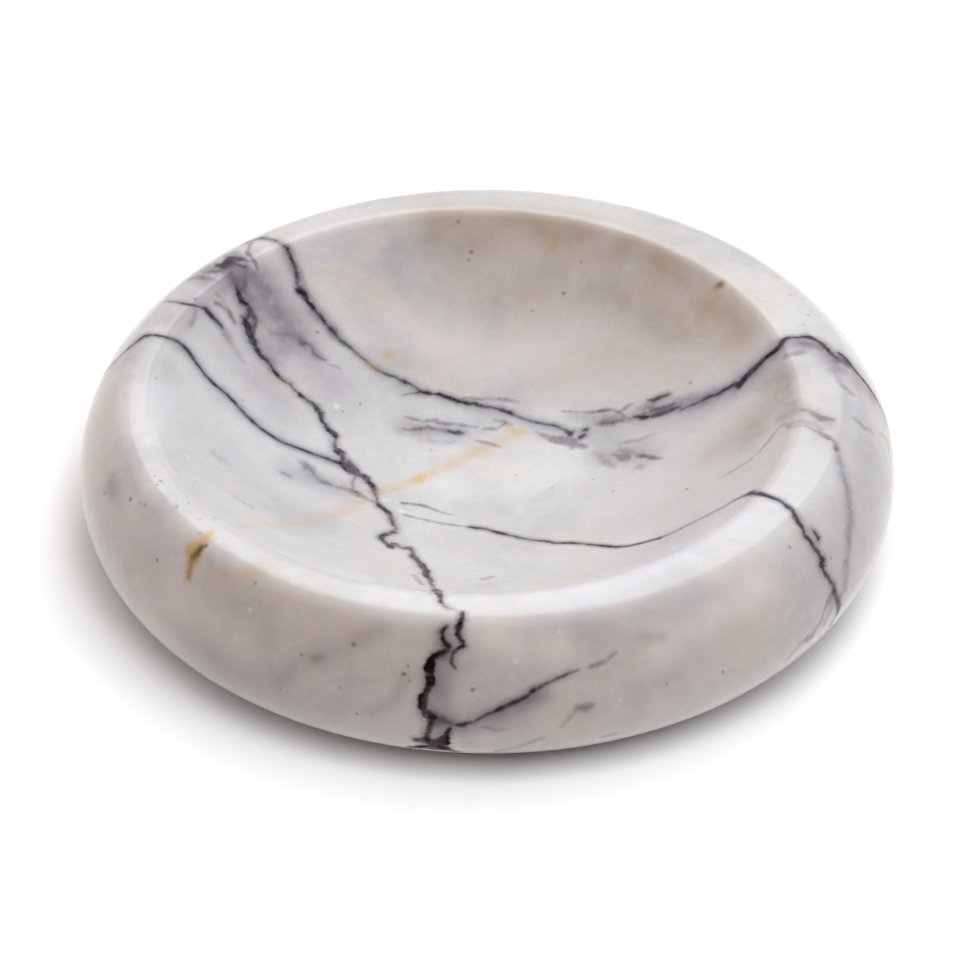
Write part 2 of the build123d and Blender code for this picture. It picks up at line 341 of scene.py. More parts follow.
faintVeins = {
    "crackShadow": trace("indigo", 6, soft=0.3, strength=0.8, path=[
        (250, 308, 3), (253, 314), (256, 321, 7), (254, 329), (252, 336, 4)]),
    "crackTwin": trace("slate", 5, soft=0.35, strength=0.75, path=[
        (245, 279, 3), (245, 285), (243, 289, 6), (247, 293, 3)]),
    "crackKnot": trace("brown", 5, soft=0.15, strength=0.8, path=[
        (349, 461, 4), (353, 466, 6), (357, 472, 5)]),
    "crackLoop": trace("slate", 2, strength=0.8, path=[(356, 477), (352, 482), (353, 490), (358, 493)]),
    "crackFoam": trace("mauve", 6, soft=0.4, strength=0.75, gaps=0.5, path=[
        (337, 487, 4), (346, 489), (356, 493), (366, 498, 5), (374, 502, 3)]),
    "crackSpur": trace("mauve", 3, soft=0.35, strength=0.55, path=[(414, 575), (418, 580), (423, 585, 3)]),
    "crackTail": trace("mauve", 3, soft=0.45, strength=0.4, path=[
        (446, 606), (452, 609), (460, 612), (468, 613, 2)]),
    "backRimLine": trace("mauve", 2, strength=0.8, path=[(246, 243), (254, 240), (262, 238)]),
    "backBranch": trace("plum", 3, soft=0.19, strength=0.8, path=[
        (403, 395, 1.5), (412, 393.5), (420, 393), (428, 392, 2)]),
    "backKnot": trace("navy", 4, strength=0.85, path=[(295.5, 290, 2), (300, 292, 5), (305, 293.5, 4)]),
    "backOver": trace("mauve", 3.5, soft=0.3, strength=0.6, gaps=0.3, path=[
        (461, 399, 2), (468, 398, 4), (480, 399), (492, 399, 4), (508, 400), (518, 402, 2)]),
    "greyPatch": trace("mauve", 12, soft=0.9, strength=0.5, path=[
        (273, 334, 8), (284, 333), (295, 334), (301, 338, 7)]),
    "greyPatchTail": trace("slate", 4, strength=0.8, gaps=0.2, path=[
        (302, 343, 5), (308, 343.5, 3), (312, 347, 3), (314, 353, 4), (319, 357, 4), (325, 360, 2)]),
    "greyPatchEnd": trace("slate", 3, soft=0.3, strength=0.4, path=[(330, 365), (339, 368)]),
    "rightStart": trace("slate", 13, soft=1.2, strength=0.3, path=[(572, 415, 8), (590, 416), (606, 418)]),
    "rightTop": trace("brown", 4, soft=0.3, strength=0.8, gaps=0.15, path=[
        (562, 411, 1), (580, 412, 1), (594, 412, 3), (602, 411), (607, 410), (613, 410, 3), (620, 413, 5),
        (625, 417, 3)]),
    "rightCloud": trace("mauve", 9, soft=0.6, strength=0.7, gaps=0.3, path=[
        (598, 424, 3), (606, 421), (615, 419, 12), (624, 419), (634, 418, 4)]),
    "rightCloudLine": trace("plum", 3, soft=0.3, strength=0.6, path=[(601, 424), (612, 422), (623, 421)]),
    "rightDash": trace("plum", 5.5, strength=0.9, path=[(635, 416.5, 3), (642, 417.5), (648, 417, 3)]),
    "rightDashTop": trace("mauve", 5, soft=0.3, strength=0.75, gaps=0.2, path=[
        (644, 413, 3), (655, 410), (663, 408), (674, 404, 3)]),
    "rightDashEnd": trace("wine", 5, strength=0.85, gaps=0.15, path=[
        (653, 416, 3), (660, 414), (667, 412), (673, 409.5), (679, 407, 3)]),
    "rightLift": trace("slate", 3.5, soft=0.35, strength=0.65, path=[
        (622, 410), (627, 406.5), (632, 404, 2)]),
    "rightStroke": trace("plum", 4.5, strength=0.85, path=[
        (647, 400, 1.5), (654, 400), (661, 397, 5), (667, 395), (671, 393.5, 2)]),
    "rightHaze": trace("slate", 14, soft=1.2, strength=0.68, gaps=0.2, path=[
        (640, 410, 7), (655, 407), (670, 405), (685, 401), (700, 399, 9), (714, 393, 5)]),
    "rimFleck": trace("mauve", 5, soft=0.45, strength=0.75, gaps=0.2, path=[
        (800, 343, 3), (807, 345, 5), (814, 346), (821, 350, 3)]),
    "rimFleckSmear": trace("dusty", 14, soft=1.1, strength=0.55, path=[
        (786, 346, 8), (798, 345), (812, 347), (824, 354, 7)]),
    "rimFleckLow": trace("dusty", 5, soft=0.4, strength=0.75, path=[(786, 356), (794, 354), (802, 352, 3)]),
    "rimShade": trace("slate", 5, soft=0.3, strength=0.7, gaps=0.2, path=[
        (840, 357, 4), (844, 361), (849, 367, 3)]),
    "wallSpeck": trace("plum", 4, soft=0.18, strength=0.9, path=[(813, 531, 3), (816, 534), (818, 538, 5)]),
    "wallBranch": trace("plum", 4, soft=0.3, strength=0.5, gaps=0.1, path=[
        (833, 592, 4), (829, 601, 6), (826, 608), (823, 615), (821, 622), (817, 628), (812, 636, 6),
        (806, 640, 4)]),
    "wallBranchEnd": trace("dusty", 7, soft=0.6, strength=0.5, gaps=0.1, path=[
        (808, 639), (799, 646), (789, 657, 5)]),
    "wallBand": trace("mauve", 7, soft=0.5, strength=0.4, gaps=0.2, path=[
        (836, 600), (832, 607), (829, 614), (824, 624, 4)]),
    "rightFaint": trace("mauve", 3, soft=0.3, strength=0.5, gaps=0.2, path=[
        (721, 478, 2), (733, 471), (746, 463), (758, 453), (768, 442), (775, 433), (780, 427), (785, 424),
        (790, 427.5), (797, 426), (804, 425.5), (810, 428)]),
    "rightFaintRim": trace("mauve", 4.5, soft=0.3, strength=0.75, gaps=0.15, path=[
        (810, 428, 3), (818, 432), (824, 435), (829, 438, 5), (835, 442, 6), (836, 450, 5)]),
    "rightWallBand": trace("slate", 9, soft=1.0, strength=0.3, gaps=0.1, path=[
        (837, 450), (840, 460), (843, 472), (846, 484), (848, 498), (849, 512), (850, 524), (849, 538),
        (848, 552, 7), (847, 568, 7), (844, 584, 6), (840, 600, 6)]),
    "rightWallThread": trace("mauve", 4, soft=0.4, strength=0.32, gaps=0.45, path=[
        (837, 450), (840, 462), (842, 474), (846, 483), (848, 495, 6), (850, 508), (851, 519), (849, 530),
        (849, 542, 6), (847, 556), (846, 567, 6), (846, 580), (846, 588, 3), (840, 596, 3)]),
    "rimStreak": trace("mauve", 6, soft=0.35, strength=0.8, gaps=0.15, path=[
        (802, 410, 2), (808, 410, 3), (815, 415, 4), (821, 418, 6), (827, 418, 5), (833, 420, 3)]),
    "rimSmear": trace("dusty", 12, soft=1.1, strength=0.5, path=[
        (780, 418, 6), (795, 410), (812, 413), (830, 424, 8)]),
    "rimStreakLow": trace("dusty", 6, soft=0.5, strength=0.6, gaps=0.2, path=[
        (790, 424, 3), (800, 421), (812, 424), (822, 430, 4)]),
    "rimBrown": trace("brown", 5, soft=0.5, strength=0.3, path=[(785, 407), (800, 399)]),
    "farRightA": trace("slate", 4, soft=0.5, strength=0.5, gaps=0.4, path=[
        (832, 368), (836, 375), (842, 385), (851, 394)]),
    "farRightB": trace("slate", 4, soft=0.4, strength=0.45, gaps=0.2, path=[
        (854, 418), (863, 427), (871, 431)]),
    "farRightC": trace("slate", 4, soft=0.4, strength=0.45, path=[(881, 434), (888, 441), (889, 452)]),
    "footBranchStart": trace("indigo", 10, soft=0.8, strength=0.8, path=[
        (436, 715, 7), (440, 720), (448, 722, 8)]),
    "footBranch": trace("navy", 3, strength=0.85, jag=0.12, path=[
        (457, 725), (463, 725, 5), (468, 723, 4), (474, 722), (480, 718), (488, 714, 3.5), (496, 711, 4.5),
        (505, 706.5, 6), (512, 703, 5), (520, 700, 4.5), (527, 696, 4.5), (534, 690, 4)]),
    "footBranchEnd": trace("navy", 3.5, strength=0.8, jag=0.12, gaps=0.1, path=[
        (534, 690, 4), (542, 686, 4), (552, 681), (561, 677), (570, 673), (578, 670, 2)]),
    "footBranchDash": trace("slate", 5, soft=0.4, strength=0.6, path=[
        (590, 667, 4), (598, 664), (605, 661, 4)]),
    "footBranchLast": trace("slate", 4, soft=0.4, strength=0.45, path=[(609, 657), (616, 653, 3)]),
    "footBranchFar": trace("dusty", 9, soft=1.3, strength=0.36, path=[(641, 637), (652, 636), (662, 638)]),
    "footBlot": trace("navy", 7, soft=0.65, strength=0.7, path=[
        (578, 707.5, 4), (585, 708), (591, 706, 4)]),
    "footBlotTail": trace("slate", 4, soft=0.5, strength=0.4, path=[(575, 712), (568, 719), (562, 726)]),
    "footFill": trace("slate", 14, soft=0.9, strength=0.6, path=[
        (436, 724, 9), (438, 732, 13), (436, 742, 15)]),
    "footLowA": trace("slate", 3, soft=0.45, strength=0.5, gaps=0.4, path=[
        (484, 727), (494, 730), (506, 729)]),
    "footLowB": trace("slate", 4, soft=0.5, strength=0.4, path=[
        (497, 751), (515, 748), (528, 743), (541, 738)]),
    "footLowC": trace("slate", 3, soft=0.5, strength=0.45, path=[(603, 737), (616, 734)]),
    # partly the vein and partly painted shadow: the dark contact along the bottom edge
    "veinAndShadowFootEdge": trace("wine", 4.5, strength=0.8, path=[
        (405, 748, 2), (412, 747), (418, 747.5), (424, 746)]),
    "footEdgeRight": trace("wine", 4.5, strength=0.8, path=[
        (440, 747), (447, 749.5), (453, 751), (460, 751.5, 2)]),
    "leftSecond": trace("navy", 2, strength=0.85, path=[
        (166, 301, 1.5), (174, 302), (182, 303, 2.5), (188, 304, 2.5), (195, 306, 2), (202, 307, 2),
        (205, 308, 3.5), (208, 312, 5), (213, 317, 4.5), (218, 322, 3.5), (222, 327, 2.5)]),
    "leftSecondTail": trace("indigo", 8, soft=0.7, strength=0.5, gaps=0.2, path=[
        (217, 322, 4), (222, 329), (227, 337), (235, 350, 4), (242, 360, 2)]),
    "leftStroke": trace("mauve", 6, soft=0.5, strength=0.6, gaps=0.2, path=[
        (196, 312, 3), (194, 319), (191, 326, 4)]),
    "leftBrown": trace("mauve", 5, soft=0.4, strength=0.8, gaps=0.15, path=[
        (216, 303, 3), (222, 306), (228, 311, 6), (231, 317), (235, 323, 4)]),
    "leftBrownTop": trace("mauve", 3, soft=0.35, strength=0.4, path=[(217, 294), (223, 300), (228, 307)]),
    "rimPatch": trace("plum", 7, soft=0.4, strength=0.88, jag=0.3, path=[
        (215, 264, 2), (219, 265, 5), (223, 265, 8), (228, 262, 8), (233, 259, 8), (240, 259, 4),
        (247, 260.5, 2)]),
    "rimPatchSmear": trace("mauve", 16, soft=1.1, strength=0.42, gaps=0.15, path=[
        (205, 272, 8), (216, 268), (228, 266), (240, 261, 10), (248, 257, 5)]),
    "rimPatchBelow": trace("dusty", 18, soft=1.3, strength=0.35, gaps=0.15, path=[
        (208, 284, 8), (220, 281), (232, 279), (242, 283, 8)]),
    "rimPatchUnder": trace("mauve", 6, soft=0.4, strength=0.65, gaps=0.1, path=[
        (221, 271, 5), (228, 270, 8), (231, 266), (236, 264, 4), (241, 266, 3), (246, 267, 2)]),
    "rimPatchCurl": trace("mauve", 3, soft=0.2, strength=0.7, path=[(236, 264, 2), (241, 266), (245, 267)]),
    "rimPatchTop": trace("mauve", 6, soft=0.5, strength=0.55, path=[
        (227, 256, 4), (233, 253.5), (238, 256)]),
    "rimPatchTail": trace("slate", 4.5, soft=0.4, strength=0.6, path=[(210, 272, 3), (217, 271)]),
    "rimPatchLow": trace("brown", 5, soft=0.45, strength=0.65, gaps=0.1, path=[
        (190, 279, 3), (197, 277), (203, 278.5), (211, 279.5, 3)]),
    "rimStrand": trace("mauve", 4, soft=0.3, strength=0.8, path=[
        (251, 243, 2), (249, 248, 3), (248, 253, 6), (252, 258), (256, 263), (257, 269, 2)]),
    "rimStrandLow": trace("mauve", 6, soft=0.45, strength=0.5, path=[
        (229, 273, 4), (233, 277), (236, 281), (239, 285, 4)]),
    "cloudA": trace("navy", 3.5, soft=0.3, strength=0.7, gaps=0.3, path=[
        (406, 417, 3), (412, 418), (418, 419.5), (423, 422, 2), (430, 421), (435, 421, 6), (439, 423, 3),
        (446, 424, 3), (456, 424, 2.5), (466, 426, 3.5), (476, 427, 2)]),
    "cloudB": trace("dusty", 15, soft=0.9, strength=0.55, gaps=0.2, path=[
        (402, 431, 8), (412, 431, 13), (424, 430), (438, 430), (450, 432, 8)]),
    "cloudBCore": trace("mauve", 4.5, soft=0.3, strength=0.75, gaps=0.4, path=[
        (402, 428, 2), (410, 430), (418, 429), (426, 427), (436, 429.5), (447, 430.5, 4)]),
    "cloudC": trace("plum", 4, strength=0.8, path=[
        (450, 431.5, 3), (455, 433), (459, 433, 6), (463, 433, 3)]),
    "cloudD": trace("slate", 4, soft=0.5, strength=0.35, gaps=0.5, path=[
        (420, 440), (434, 442), (446, 443), (456, 441)]),
    "cloudE": trace("mauve", 4, soft=0.35, strength=0.65, path=[
        (484, 429, 2), (489, 428.5), (496, 428.5), (506, 423, 2)]),
    "cloudHigh": trace("mauve", 6, soft=0.5, strength=0.65, gaps=0.3, path=[
        (496, 420, 4), (503, 421), (510, 424, 4)]),
    "thinStroke": trace("brown", 3.5, soft=0.3, strength=0.65, path=[
        (475, 440, 1.5), (487, 443), (494, 445), (500, 447, 2)]),
    "wedge": trace("mauve", 9, soft=0.45, strength=0.75, jag=0.35, gaps=0.1, path=[
        (536, 432, 2), (544, 435.5, 5), (553, 439, 8), (562, 441, 10), (572, 443.5, 11), (583, 447, 5)]),
    "wedgeFleckA": trace("plum", 4, strength=0.8, path=[(581, 437), (584, 435.5)]),
    "wedgeFleckB": trace("plum", 3.5, strength=0.8, path=[(584, 430), (586, 429.5)]),
    "middleStroke": trace("brown", 3.5, soft=0.4, strength=0.5, gaps=0.2, path=[
        (620, 444, 2), (630, 441), (640, 440), (647, 437), (655, 434, 2)]),
    "middleBrown": trace("brown", 5, soft=0.3, strength=0.85, path=[
        (637, 456, 3), (645, 456), (650, 457, 6), (656, 458.5), (662, 458, 2)]),
    "middleCloud": trace("mauve", 9, soft=0.6, strength=0.65, gaps=0.3, path=[
        (594, 453, 4), (602, 457), (607, 461, 10), (613, 466, 4)]),
    "middleCloudRight": trace("mauve", 8, soft=0.4, strength=0.8, gaps=0.2, path=[
        (614, 455, 5), (620, 457), (627, 458.5, 7)]),
    "middleCloudTop": trace("slate", 6, soft=0.5, strength=0.55, gaps=0.2, path=[
        (620, 450), (630, 453), (642, 454, 3)]),
    "leftOfCrack": trace("slate", 10, soft=0.9, strength=0.6, gaps=0.3, path=[
        (304, 464, 6), (310, 471, 12), (318, 478), (329, 483, 5)]),
    "leftOfCrackCore": trace("mauve", 7, soft=0.5, strength=0.65, gaps=0.3, path=[
        (305, 466, 5), (311, 469, 8), (314, 475), (320, 481, 6), (328, 484, 4)]),
    "blueStrokeA": trace("slate", 6, soft=0.9, strength=0.3, gaps=0.5, path=[
        (213, 452), (219, 457), (225, 461)]),
    "blueStrokeB": trace("slate", 5, soft=0.6, strength=0.35, gaps=0.4, path=[
        (236, 498), (243, 502), (250, 506)]),
    "blueStrokeC": trace("slate", 2, soft=0.2, strength=0.6, path=[(283, 473), (289, 476)]),
    "bowlEndStroke": trace("slate", 2, soft=0.2, strength=0.5, path=[(483, 579), (491, 577)]),
}
rustStains = {
    "wallStain": trace("ochre", 15, soft=0.8, strength=0.92, path=[
        (209, 534, 7), (205, 539, 11), (199, 544, 18), (195, 551, 18), (192, 560, 15), (190, 569, 12),
        (189, 578, 8)]),
    "wallStainCore": trace("umber", 6, soft=0.4, strength=0.85, path=[
        (206, 545, 5), (201, 548, 6), (197, 552, 9), (194, 555, 5)]),
    "wallStainLow": trace("rust", 8, soft=0.5, strength=0.65, path=[
        (195, 556, 7), (191, 562), (190, 569), (189, 576, 5)]),
    "streakCore": trace("ochre", 8, soft=0.7, strength=0.85, gaps=0.1, path=[
        (412, 482, 4), (419, 479), (425, 476, 8), (431, 473, 4)]),
    "streakLeft": trace("ochre", 6, soft=0.7, strength=0.5, gaps=0.6, path=[
        (372, 492, 3), (385, 491), (397, 488), (410, 483)]),
    "streakRight": trace("ochre", 10, soft=1.1, strength=0.36, gaps=0.4, path=[
        (434, 472, 5), (448, 467), (462, 459), (476, 453, 11), (488, 449), (502, 443), (514, 437),
        (522, 432, 4)]),
    "streakBlotA": trace("ochre", 7, soft=0.7, strength=0.32, path=[(447, 467), (454, 465)]),
    "streakBlotB": trace("ochre", 8, soft=0.7, strength=0.38, path=[
        (468, 455, 4), (477, 452), (486, 449, 4)]),
    "streakBlotC": trace("ochre", 5, soft=0.5, strength=0.5, path=[(507, 430), (514, 431)]),
    "streakTop": trace("ochre", 3, soft=0.3, strength=0.5, path=[(507, 428), (518, 431), (531, 433)]),
    "floorStreak": trace("ochre", 9, soft=1.0, strength=0.5, gaps=0.5, path=[
        (335, 514, 5), (346, 510), (357, 504), (368, 498, 4)]),
    "floorStreakLow": trace("ochre", 8, soft=1.0, strength=0.38, gaps=0.5, path=[
        (240, 526), (270, 525), (290, 524), (310, 521), (330, 516)]),
    "crackRing": trace("ochre", 5, soft=0.4, strength=0.35, path=[(272, 381), (276, 383)]),
    "crackRust": trace("ochre", 5, soft=0.4, strength=0.4, path=[(284, 379), (292, 382)]),
    "spotA": trace("ochre", 7, soft=0.6, strength=0.26, path=[(254, 382), (256, 383)]),
    "spotB": trace("ochre", 9, soft=0.7, strength=0.5, path=[(386, 355), (392, 354)]),
    "spotC": trace("ochre", 6, soft=0.6, strength=0.5, path=[(370, 366), (376, 367)]),
    "spotD": trace("ochre", 7, soft=0.7, strength=0.2, path=[(314, 375), (318, 375)]),
    "backSpotA": trace("ochre", 6, soft=0.6, strength=0.55, path=[(557, 236), (555, 243), (552, 248)]),
    "backSpotB": trace("ochre", 5, soft=0.4, strength=0.75, path=[(721, 284), (716, 287), (711, 292)]),
    "backSpotCore": trace("rust", 3, soft=0.2, strength=0.7, path=[(721, 284.5), (718, 286)]),
    "backSpotC": trace("ochre", 8, soft=0.8, strength=0.35, path=[(682, 316), (679, 324)]),
    "backSpotD": trace("ochre", 8, soft=0.8, strength=0.25, path=[(520, 300), (531, 295)]),
    "rimSpot": trace("ochre", 5, soft=0.4, strength=0.35, path=[(772, 274), (777, 277)]),
    "wallFaint": trace("ochre", 12, soft=1.3, strength=0.3, path=[(212, 572), (238, 576), (258, 572)]),
    "wallFaintRight": trace("ochre", 9, soft=1.0, strength=0.2, path=[(252, 568), (268, 567)]),
    "middleSpot": trace("brown", 4, soft=0.4, strength=0.35, path=[(638, 467), (642, 467)]),
}
# single dark grains: (x, y, width), in pixels of the photograph
grains = {"ink": "plum", "soft": 0.3, "strength": 0.7, "places": [
    (156, 378, 3), (160.5, 481, 4), (157, 485, 3), (130.5, 499, 4), (140, 503, 3), (145, 505, 4),
    (177, 506.5, 6), (189, 503, 3), (154, 476, 2), (105, 494, 4), (193, 486, 3), (215, 518, 3),
    (200, 519, 2), (200, 533, 2), (157, 560, 3), (243, 400, 3), (342, 411, 2), (360, 404, 3), (431, 450, 2),
    (516, 475, 2), (593, 479, 2), (552, 488, 3), (613, 491, 2), (687, 489, 4), (790, 547, 3), (831, 558, 3),
    (723, 672, 3), (667, 684, 2), (302, 655, 4), (354, 645, 5), (404, 674, 4), (410, 681, 2), (408, 666, 2),
    (280, 688, 3), (357, 714, 4), (472, 690, 3), (458, 222, 3), (471, 252, 4), (469, 260, 2), (564, 293, 3),
    (581, 262, 2), (532, 311, 3), (790, 295, 2), (808, 315, 2), (803, 324, 2), (195, 299, 4), (148, 337, 3),
    (317, 332, 4), (268, 369, 3), (474, 689, 2), (255, 583, 2), (340, 688, 2), (690, 383, 3), (806, 426, 2)]}
# painted glints: white spots that stand for small bright highlights on the polish
paintedGlints = {"ink": "glintWhite", "soft": 0.35, "strength": 0.9, "places": [
    (337, 406, 9), (188, 457, 5), (402, 511, 6), (385, 500, 5), (516, 661, 4), (559, 632, 4), (440, 657, 3),
    (620, 700, 3), (700, 560, 3), (250, 610, 4)]}
# wide soft tints: most are the stone's own, and those marked below are painted shade or painted light
cloudInks = {
    "cool": (0.64, 0.65, 0.71),
    "grey": (0.60, 0.58, 0.59),
    "lilac": (0.76, 0.74, 0.80),
    "warm": (0.86, 0.78, 0.66),
    "rose": (0.78, 0.70, 0.71),
    "dusk": (0.55, 0.51, 0.57),
    # the darker beige of the painted shade
    "paintedShadeBeige": (0.80, 0.74, 0.68),
    "clear": (0.97, 0.95, 0.95),
    # the cool white of the painted highlights
    "paintedLightMilk": (0.95, 0.95, 0.985),
}
clouds = {
    "betweenCracks": cloud("dusk", 46, 0.78, [(262, 285), (278, 312), (292, 336)]),
    "betweenCracksLow": cloud("lilac", 44, 0.6, [(290, 345), (330, 385)]),
    "crackTopShade": cloud("dusk", 26, 0.75, [(238, 285), (248, 310), (254, 338), (268, 362)]),
    "rimShade": cloud("dusk", 30, 0.6, [(205, 275), (235, 262), (248, 275)]),
    "leftRimShade": cloud("dusk", 32, 0.5, [(172, 318), (200, 298), (225, 282)]),
    "leftOfCrackShade": cloud("dusk", 24, 0.4, [(290, 472), (312, 480), (345, 490)]),
    # painted shade: a darker beige band on the upper back inner wall, where it turns away from the back
    # lamps
    "paintedShadeBack": cloud("paintedShadeBeige", 56, 0.8, [
        (440, 224), (500, 222), (560, 228), (640, 250), (700, 290), (740, 330)]),
    "paintedShadeBackLow": cloud("paintedShadeBeige", 70, 0.45, [(470, 275), (540, 280), (640, 300), (690, 330)]),
    # painted shade: the inner wall just under the right lip, turned away from the right-hand lamps, is
    # darkened and warmed in the colour
    "paintedShadeRightInner": cloud("grey", 26, 0.65, [(752, 432), (768, 414), (779, 396), (785, 378)]),
    "paintedShadeRightInnerWarm": cloud("paintedShadeBeige", 34, 0.5, [(720, 450), (745, 436), (766, 408), (778, 385)]),
    # painted highlight: the left lip is lightened where the back softbox is reflected in it
    "paintedHighlightLeft": cloud("paintedLightMilk", 26, 0.8, [(163, 392), (156, 412), (152, 440)]),
    # painted light: the lower back of the bowl is lightened in the colour
    "paintedLightBack": cloud("clear", 50, 0.6, [(392, 322), (440, 345), (500, 356), (560, 352)]),
    # painted light: the lower front wall above the foot is lightened in the colour
    "paintedLightFoot": cloud("clear", 24, 0.7, [(490, 738), (525, 736), (560, 728)]),
    "middleShade": cloud("dusk", 22, 0.3, [(596, 458), (620, 457), (648, 456)]),
    # painted light: the front outer wall is lightened where the lamps leave it darker
    "paintedLightFront": cloud("clear", 46, 1.0, [(492, 636), (522, 650), (560, 650)]),
    "paintedLightFrontRight": cloud("clear", 50, 0.9, [(660, 648), (710, 628), (762, 590)]),
    "paintedLightFrontLeft": cloud("clear", 44, 1.0, [(176, 596), (205, 620), (238, 640)]),
    # painted highlight: the front land is lightened along the band where the back softbox is reflected
    "paintedHighlightLand": cloud("paintedLightMilk", 34, 0.9, [
        (300, 560), (400, 590), (500, 598), (600, 583), (680, 550), (722, 526)]),
    "backVeinShade": cloud("dusk", 16, 0.7, [(284, 246), (294, 268), (302, 292), (316, 312), (332, 331)]),
    "rightVeinShade": cloud("dusk", 18, 0.75, [(706, 400), (730, 389), (752, 372), (772, 354)]),
    "rightTopShade": cloud("dusk", 14, 0.7, [(784, 342), (802, 340), (820, 346), (838, 360)]),
    "rightFarShade": cloud("dusk", 26, 0.8, [(838, 360), (856, 374), (874, 398), (886, 420)]),
    "leftVeinShade": cloud("cool", 15, 0.6, [
        (112, 366), (138, 342), (165, 338), (186, 350), (204, 374), (232, 400), (262, 430), (300, 450),
        (335, 462)]),
    # painted shade: the lower left outer wall is darkened in the colour
    "paintedShadeWallLeftLow": cloud("grey", 50, 0.3, [(215, 668), (260, 700), (310, 722)]),
    "leftOfCrackTop": cloud("lilac", 34, 0.6, [(215, 320), (240, 365), (275, 400)]),
    "leftBowl": cloud("lilac", 60, 0.3, [(205, 420), (250, 480), (300, 520)]),
    "leftRimUnder": cloud("cool", 10, 0.3, [(112, 372), (140, 350)]),
    "crackHalo": cloud("lilac", 14, 0.4, [(318, 412), (340, 455), (370, 485), (392, 530), (430, 580)]),
    "wallHalo": cloud("dusk", 26, 0.6, [(440, 632), (443, 660), (440, 690), (440, 715)]),
    "footHalo": cloud("dusk", 24, 0.65, [(440, 718), (462, 727), (495, 718), (540, 695)]),
    "footShade": cloud("grey", 22, 0.12, [(500, 735), (560, 722), (600, 705)]),
    "backHalo": cloud("cool", 14, 0.35, [(310, 305), (345, 342), (400, 385), (470, 407), (560, 430)]),
    "floorCloud": cloud("cool", 20, 0.45, [(400, 424), (440, 430), (480, 428)]),
    "floorCloudLow": cloud("lilac", 24, 0.3, [(420, 442), (460, 440)]),
    "wedgeCloud": cloud("cool", 22, 0.35, [(540, 425), (580, 440), (640, 448)]),
    "rightUnder": cloud("cool", 26, 0.4, [(600, 425), (660, 418), (710, 405), (760, 378)]),
    "rightUnderRim": cloud("cool", 18, 0.45, [(755, 380), (785, 352), (806, 346)]),
    "rimBand": cloud("rose", 22, 0.35, [(790, 415), (820, 425), (836, 440)]),
    "rightWall": cloud("lilac", 44, 0.4, [(850, 400), (868, 450), (868, 510), (855, 570)]),
    "rightWallLine": cloud("lilac", 16, 0.4, [(840, 460), (851, 515), (846, 585)]),
    "frontWallShade": cloud("lilac", 20, 0.65, [(800, 520), (822, 560), (836, 605)]),
    "leftWallSpot": cloud("grey", 14, 0.45, [(110, 482), (114, 492)]),
    "leftWallSpotLow": cloud("grey", 10, 0.3, [(134, 485), (136, 488)]),
    "frontWallBlot": cloud("grey", 9, 0.6, [(314, 659), (320, 657)]),
    "frontWallBand": cloud("grey", 24, 0.28, [(280, 678), (320, 655), (380, 630)]),
    "frontWallBandLow": cloud("grey", 16, 0.3, [(372, 712), (394, 700), (404, 680)]),
    "frontRightShade": cloud("grey", 30, 0.1, [(640, 690), (700, 660), (740, 630)]),
    # painted shade: grey and warm darkening of the upper back inner wall near the lip
    "paintedShadeBackGrey": cloud("grey", 20, 0.2, [(395, 245), (430, 240), (470, 245)]),
    "paintedShadeBackGreyRight": cloud("grey", 34, 0.2, [(600, 290), (650, 320), (680, 330)]),
    "paintedShadeBackWarm": cloud("warm", 40, 0.22, [(640, 300), (700, 320), (740, 345)]),
    "floorWarm": cloud("warm", 50, 0.16, [(560, 375), (620, 360), (680, 372)]),
    "streakGlow": cloud("warm", 14, 0.35, [(365, 492), (415, 481), (470, 455), (520, 433)]),
    "frontWarm": cloud("warm", 50, 0.2, [(240, 600), (330, 620), (420, 640)]),
}


# How a trace in the photograph becomes a line on the stone

tracing = {
    "thinning": 0.88,  # the photograph's blur makes a vein look wider than it is
    "pixelStep": 4.0,  # a trace is put on the stone at least this often, in pixels
    "besideStep": 2.0,  # a pixel's size on the stone is measured over this many pixels
    "pixelScale": (0.1, 0.24),  # the least and the most that a pixel may be across a vein, in mm
    "dishMiddle": (487.0, 460.0),
    "moveInShares": (0.0, 0.003, 0.006, 0.01, 0.015, 0.02, 0.03),  # of the way to the dish's middle
    "reach": 0.8,  # how far beyond its edge the stone still knows a vein, in mm
    "layers": 8,
    "layerGap": 0.5,  # between the ranges of two veins in one layer, in mm
    "far": 9.0,  # the way to the nearest vein where there is none, in mm
    "cloudFade": 0.9,  # how fast a cloud thins out beyond its middle
    "leastFacing": 0.04,  # the stone counts as unseen where it faces the camera less than this
    "lift": 0.05,  # how far above the stone a look back at the camera starts, in mm
    "unseenRounds": 12,  # of blurring, for the soft edge of the unseen part
}


def onStone(x, y):
    # the point of the stone under a pixel; one just outside the outline is moved in
    middleX, middleY = tracing["dishMiddle"]
    for share in tracing["moveInShares"]:
        start, way = photoRay(x + (middleX - x) * share, y + (middleY - y) * share)
        hit = dishTree.ray_cast(start / mm, way)
        if hit[0] is not None:
            return np.array(hit[0])
    raise ValueError(f"the pixel {x}, {y} isn't on the stone")


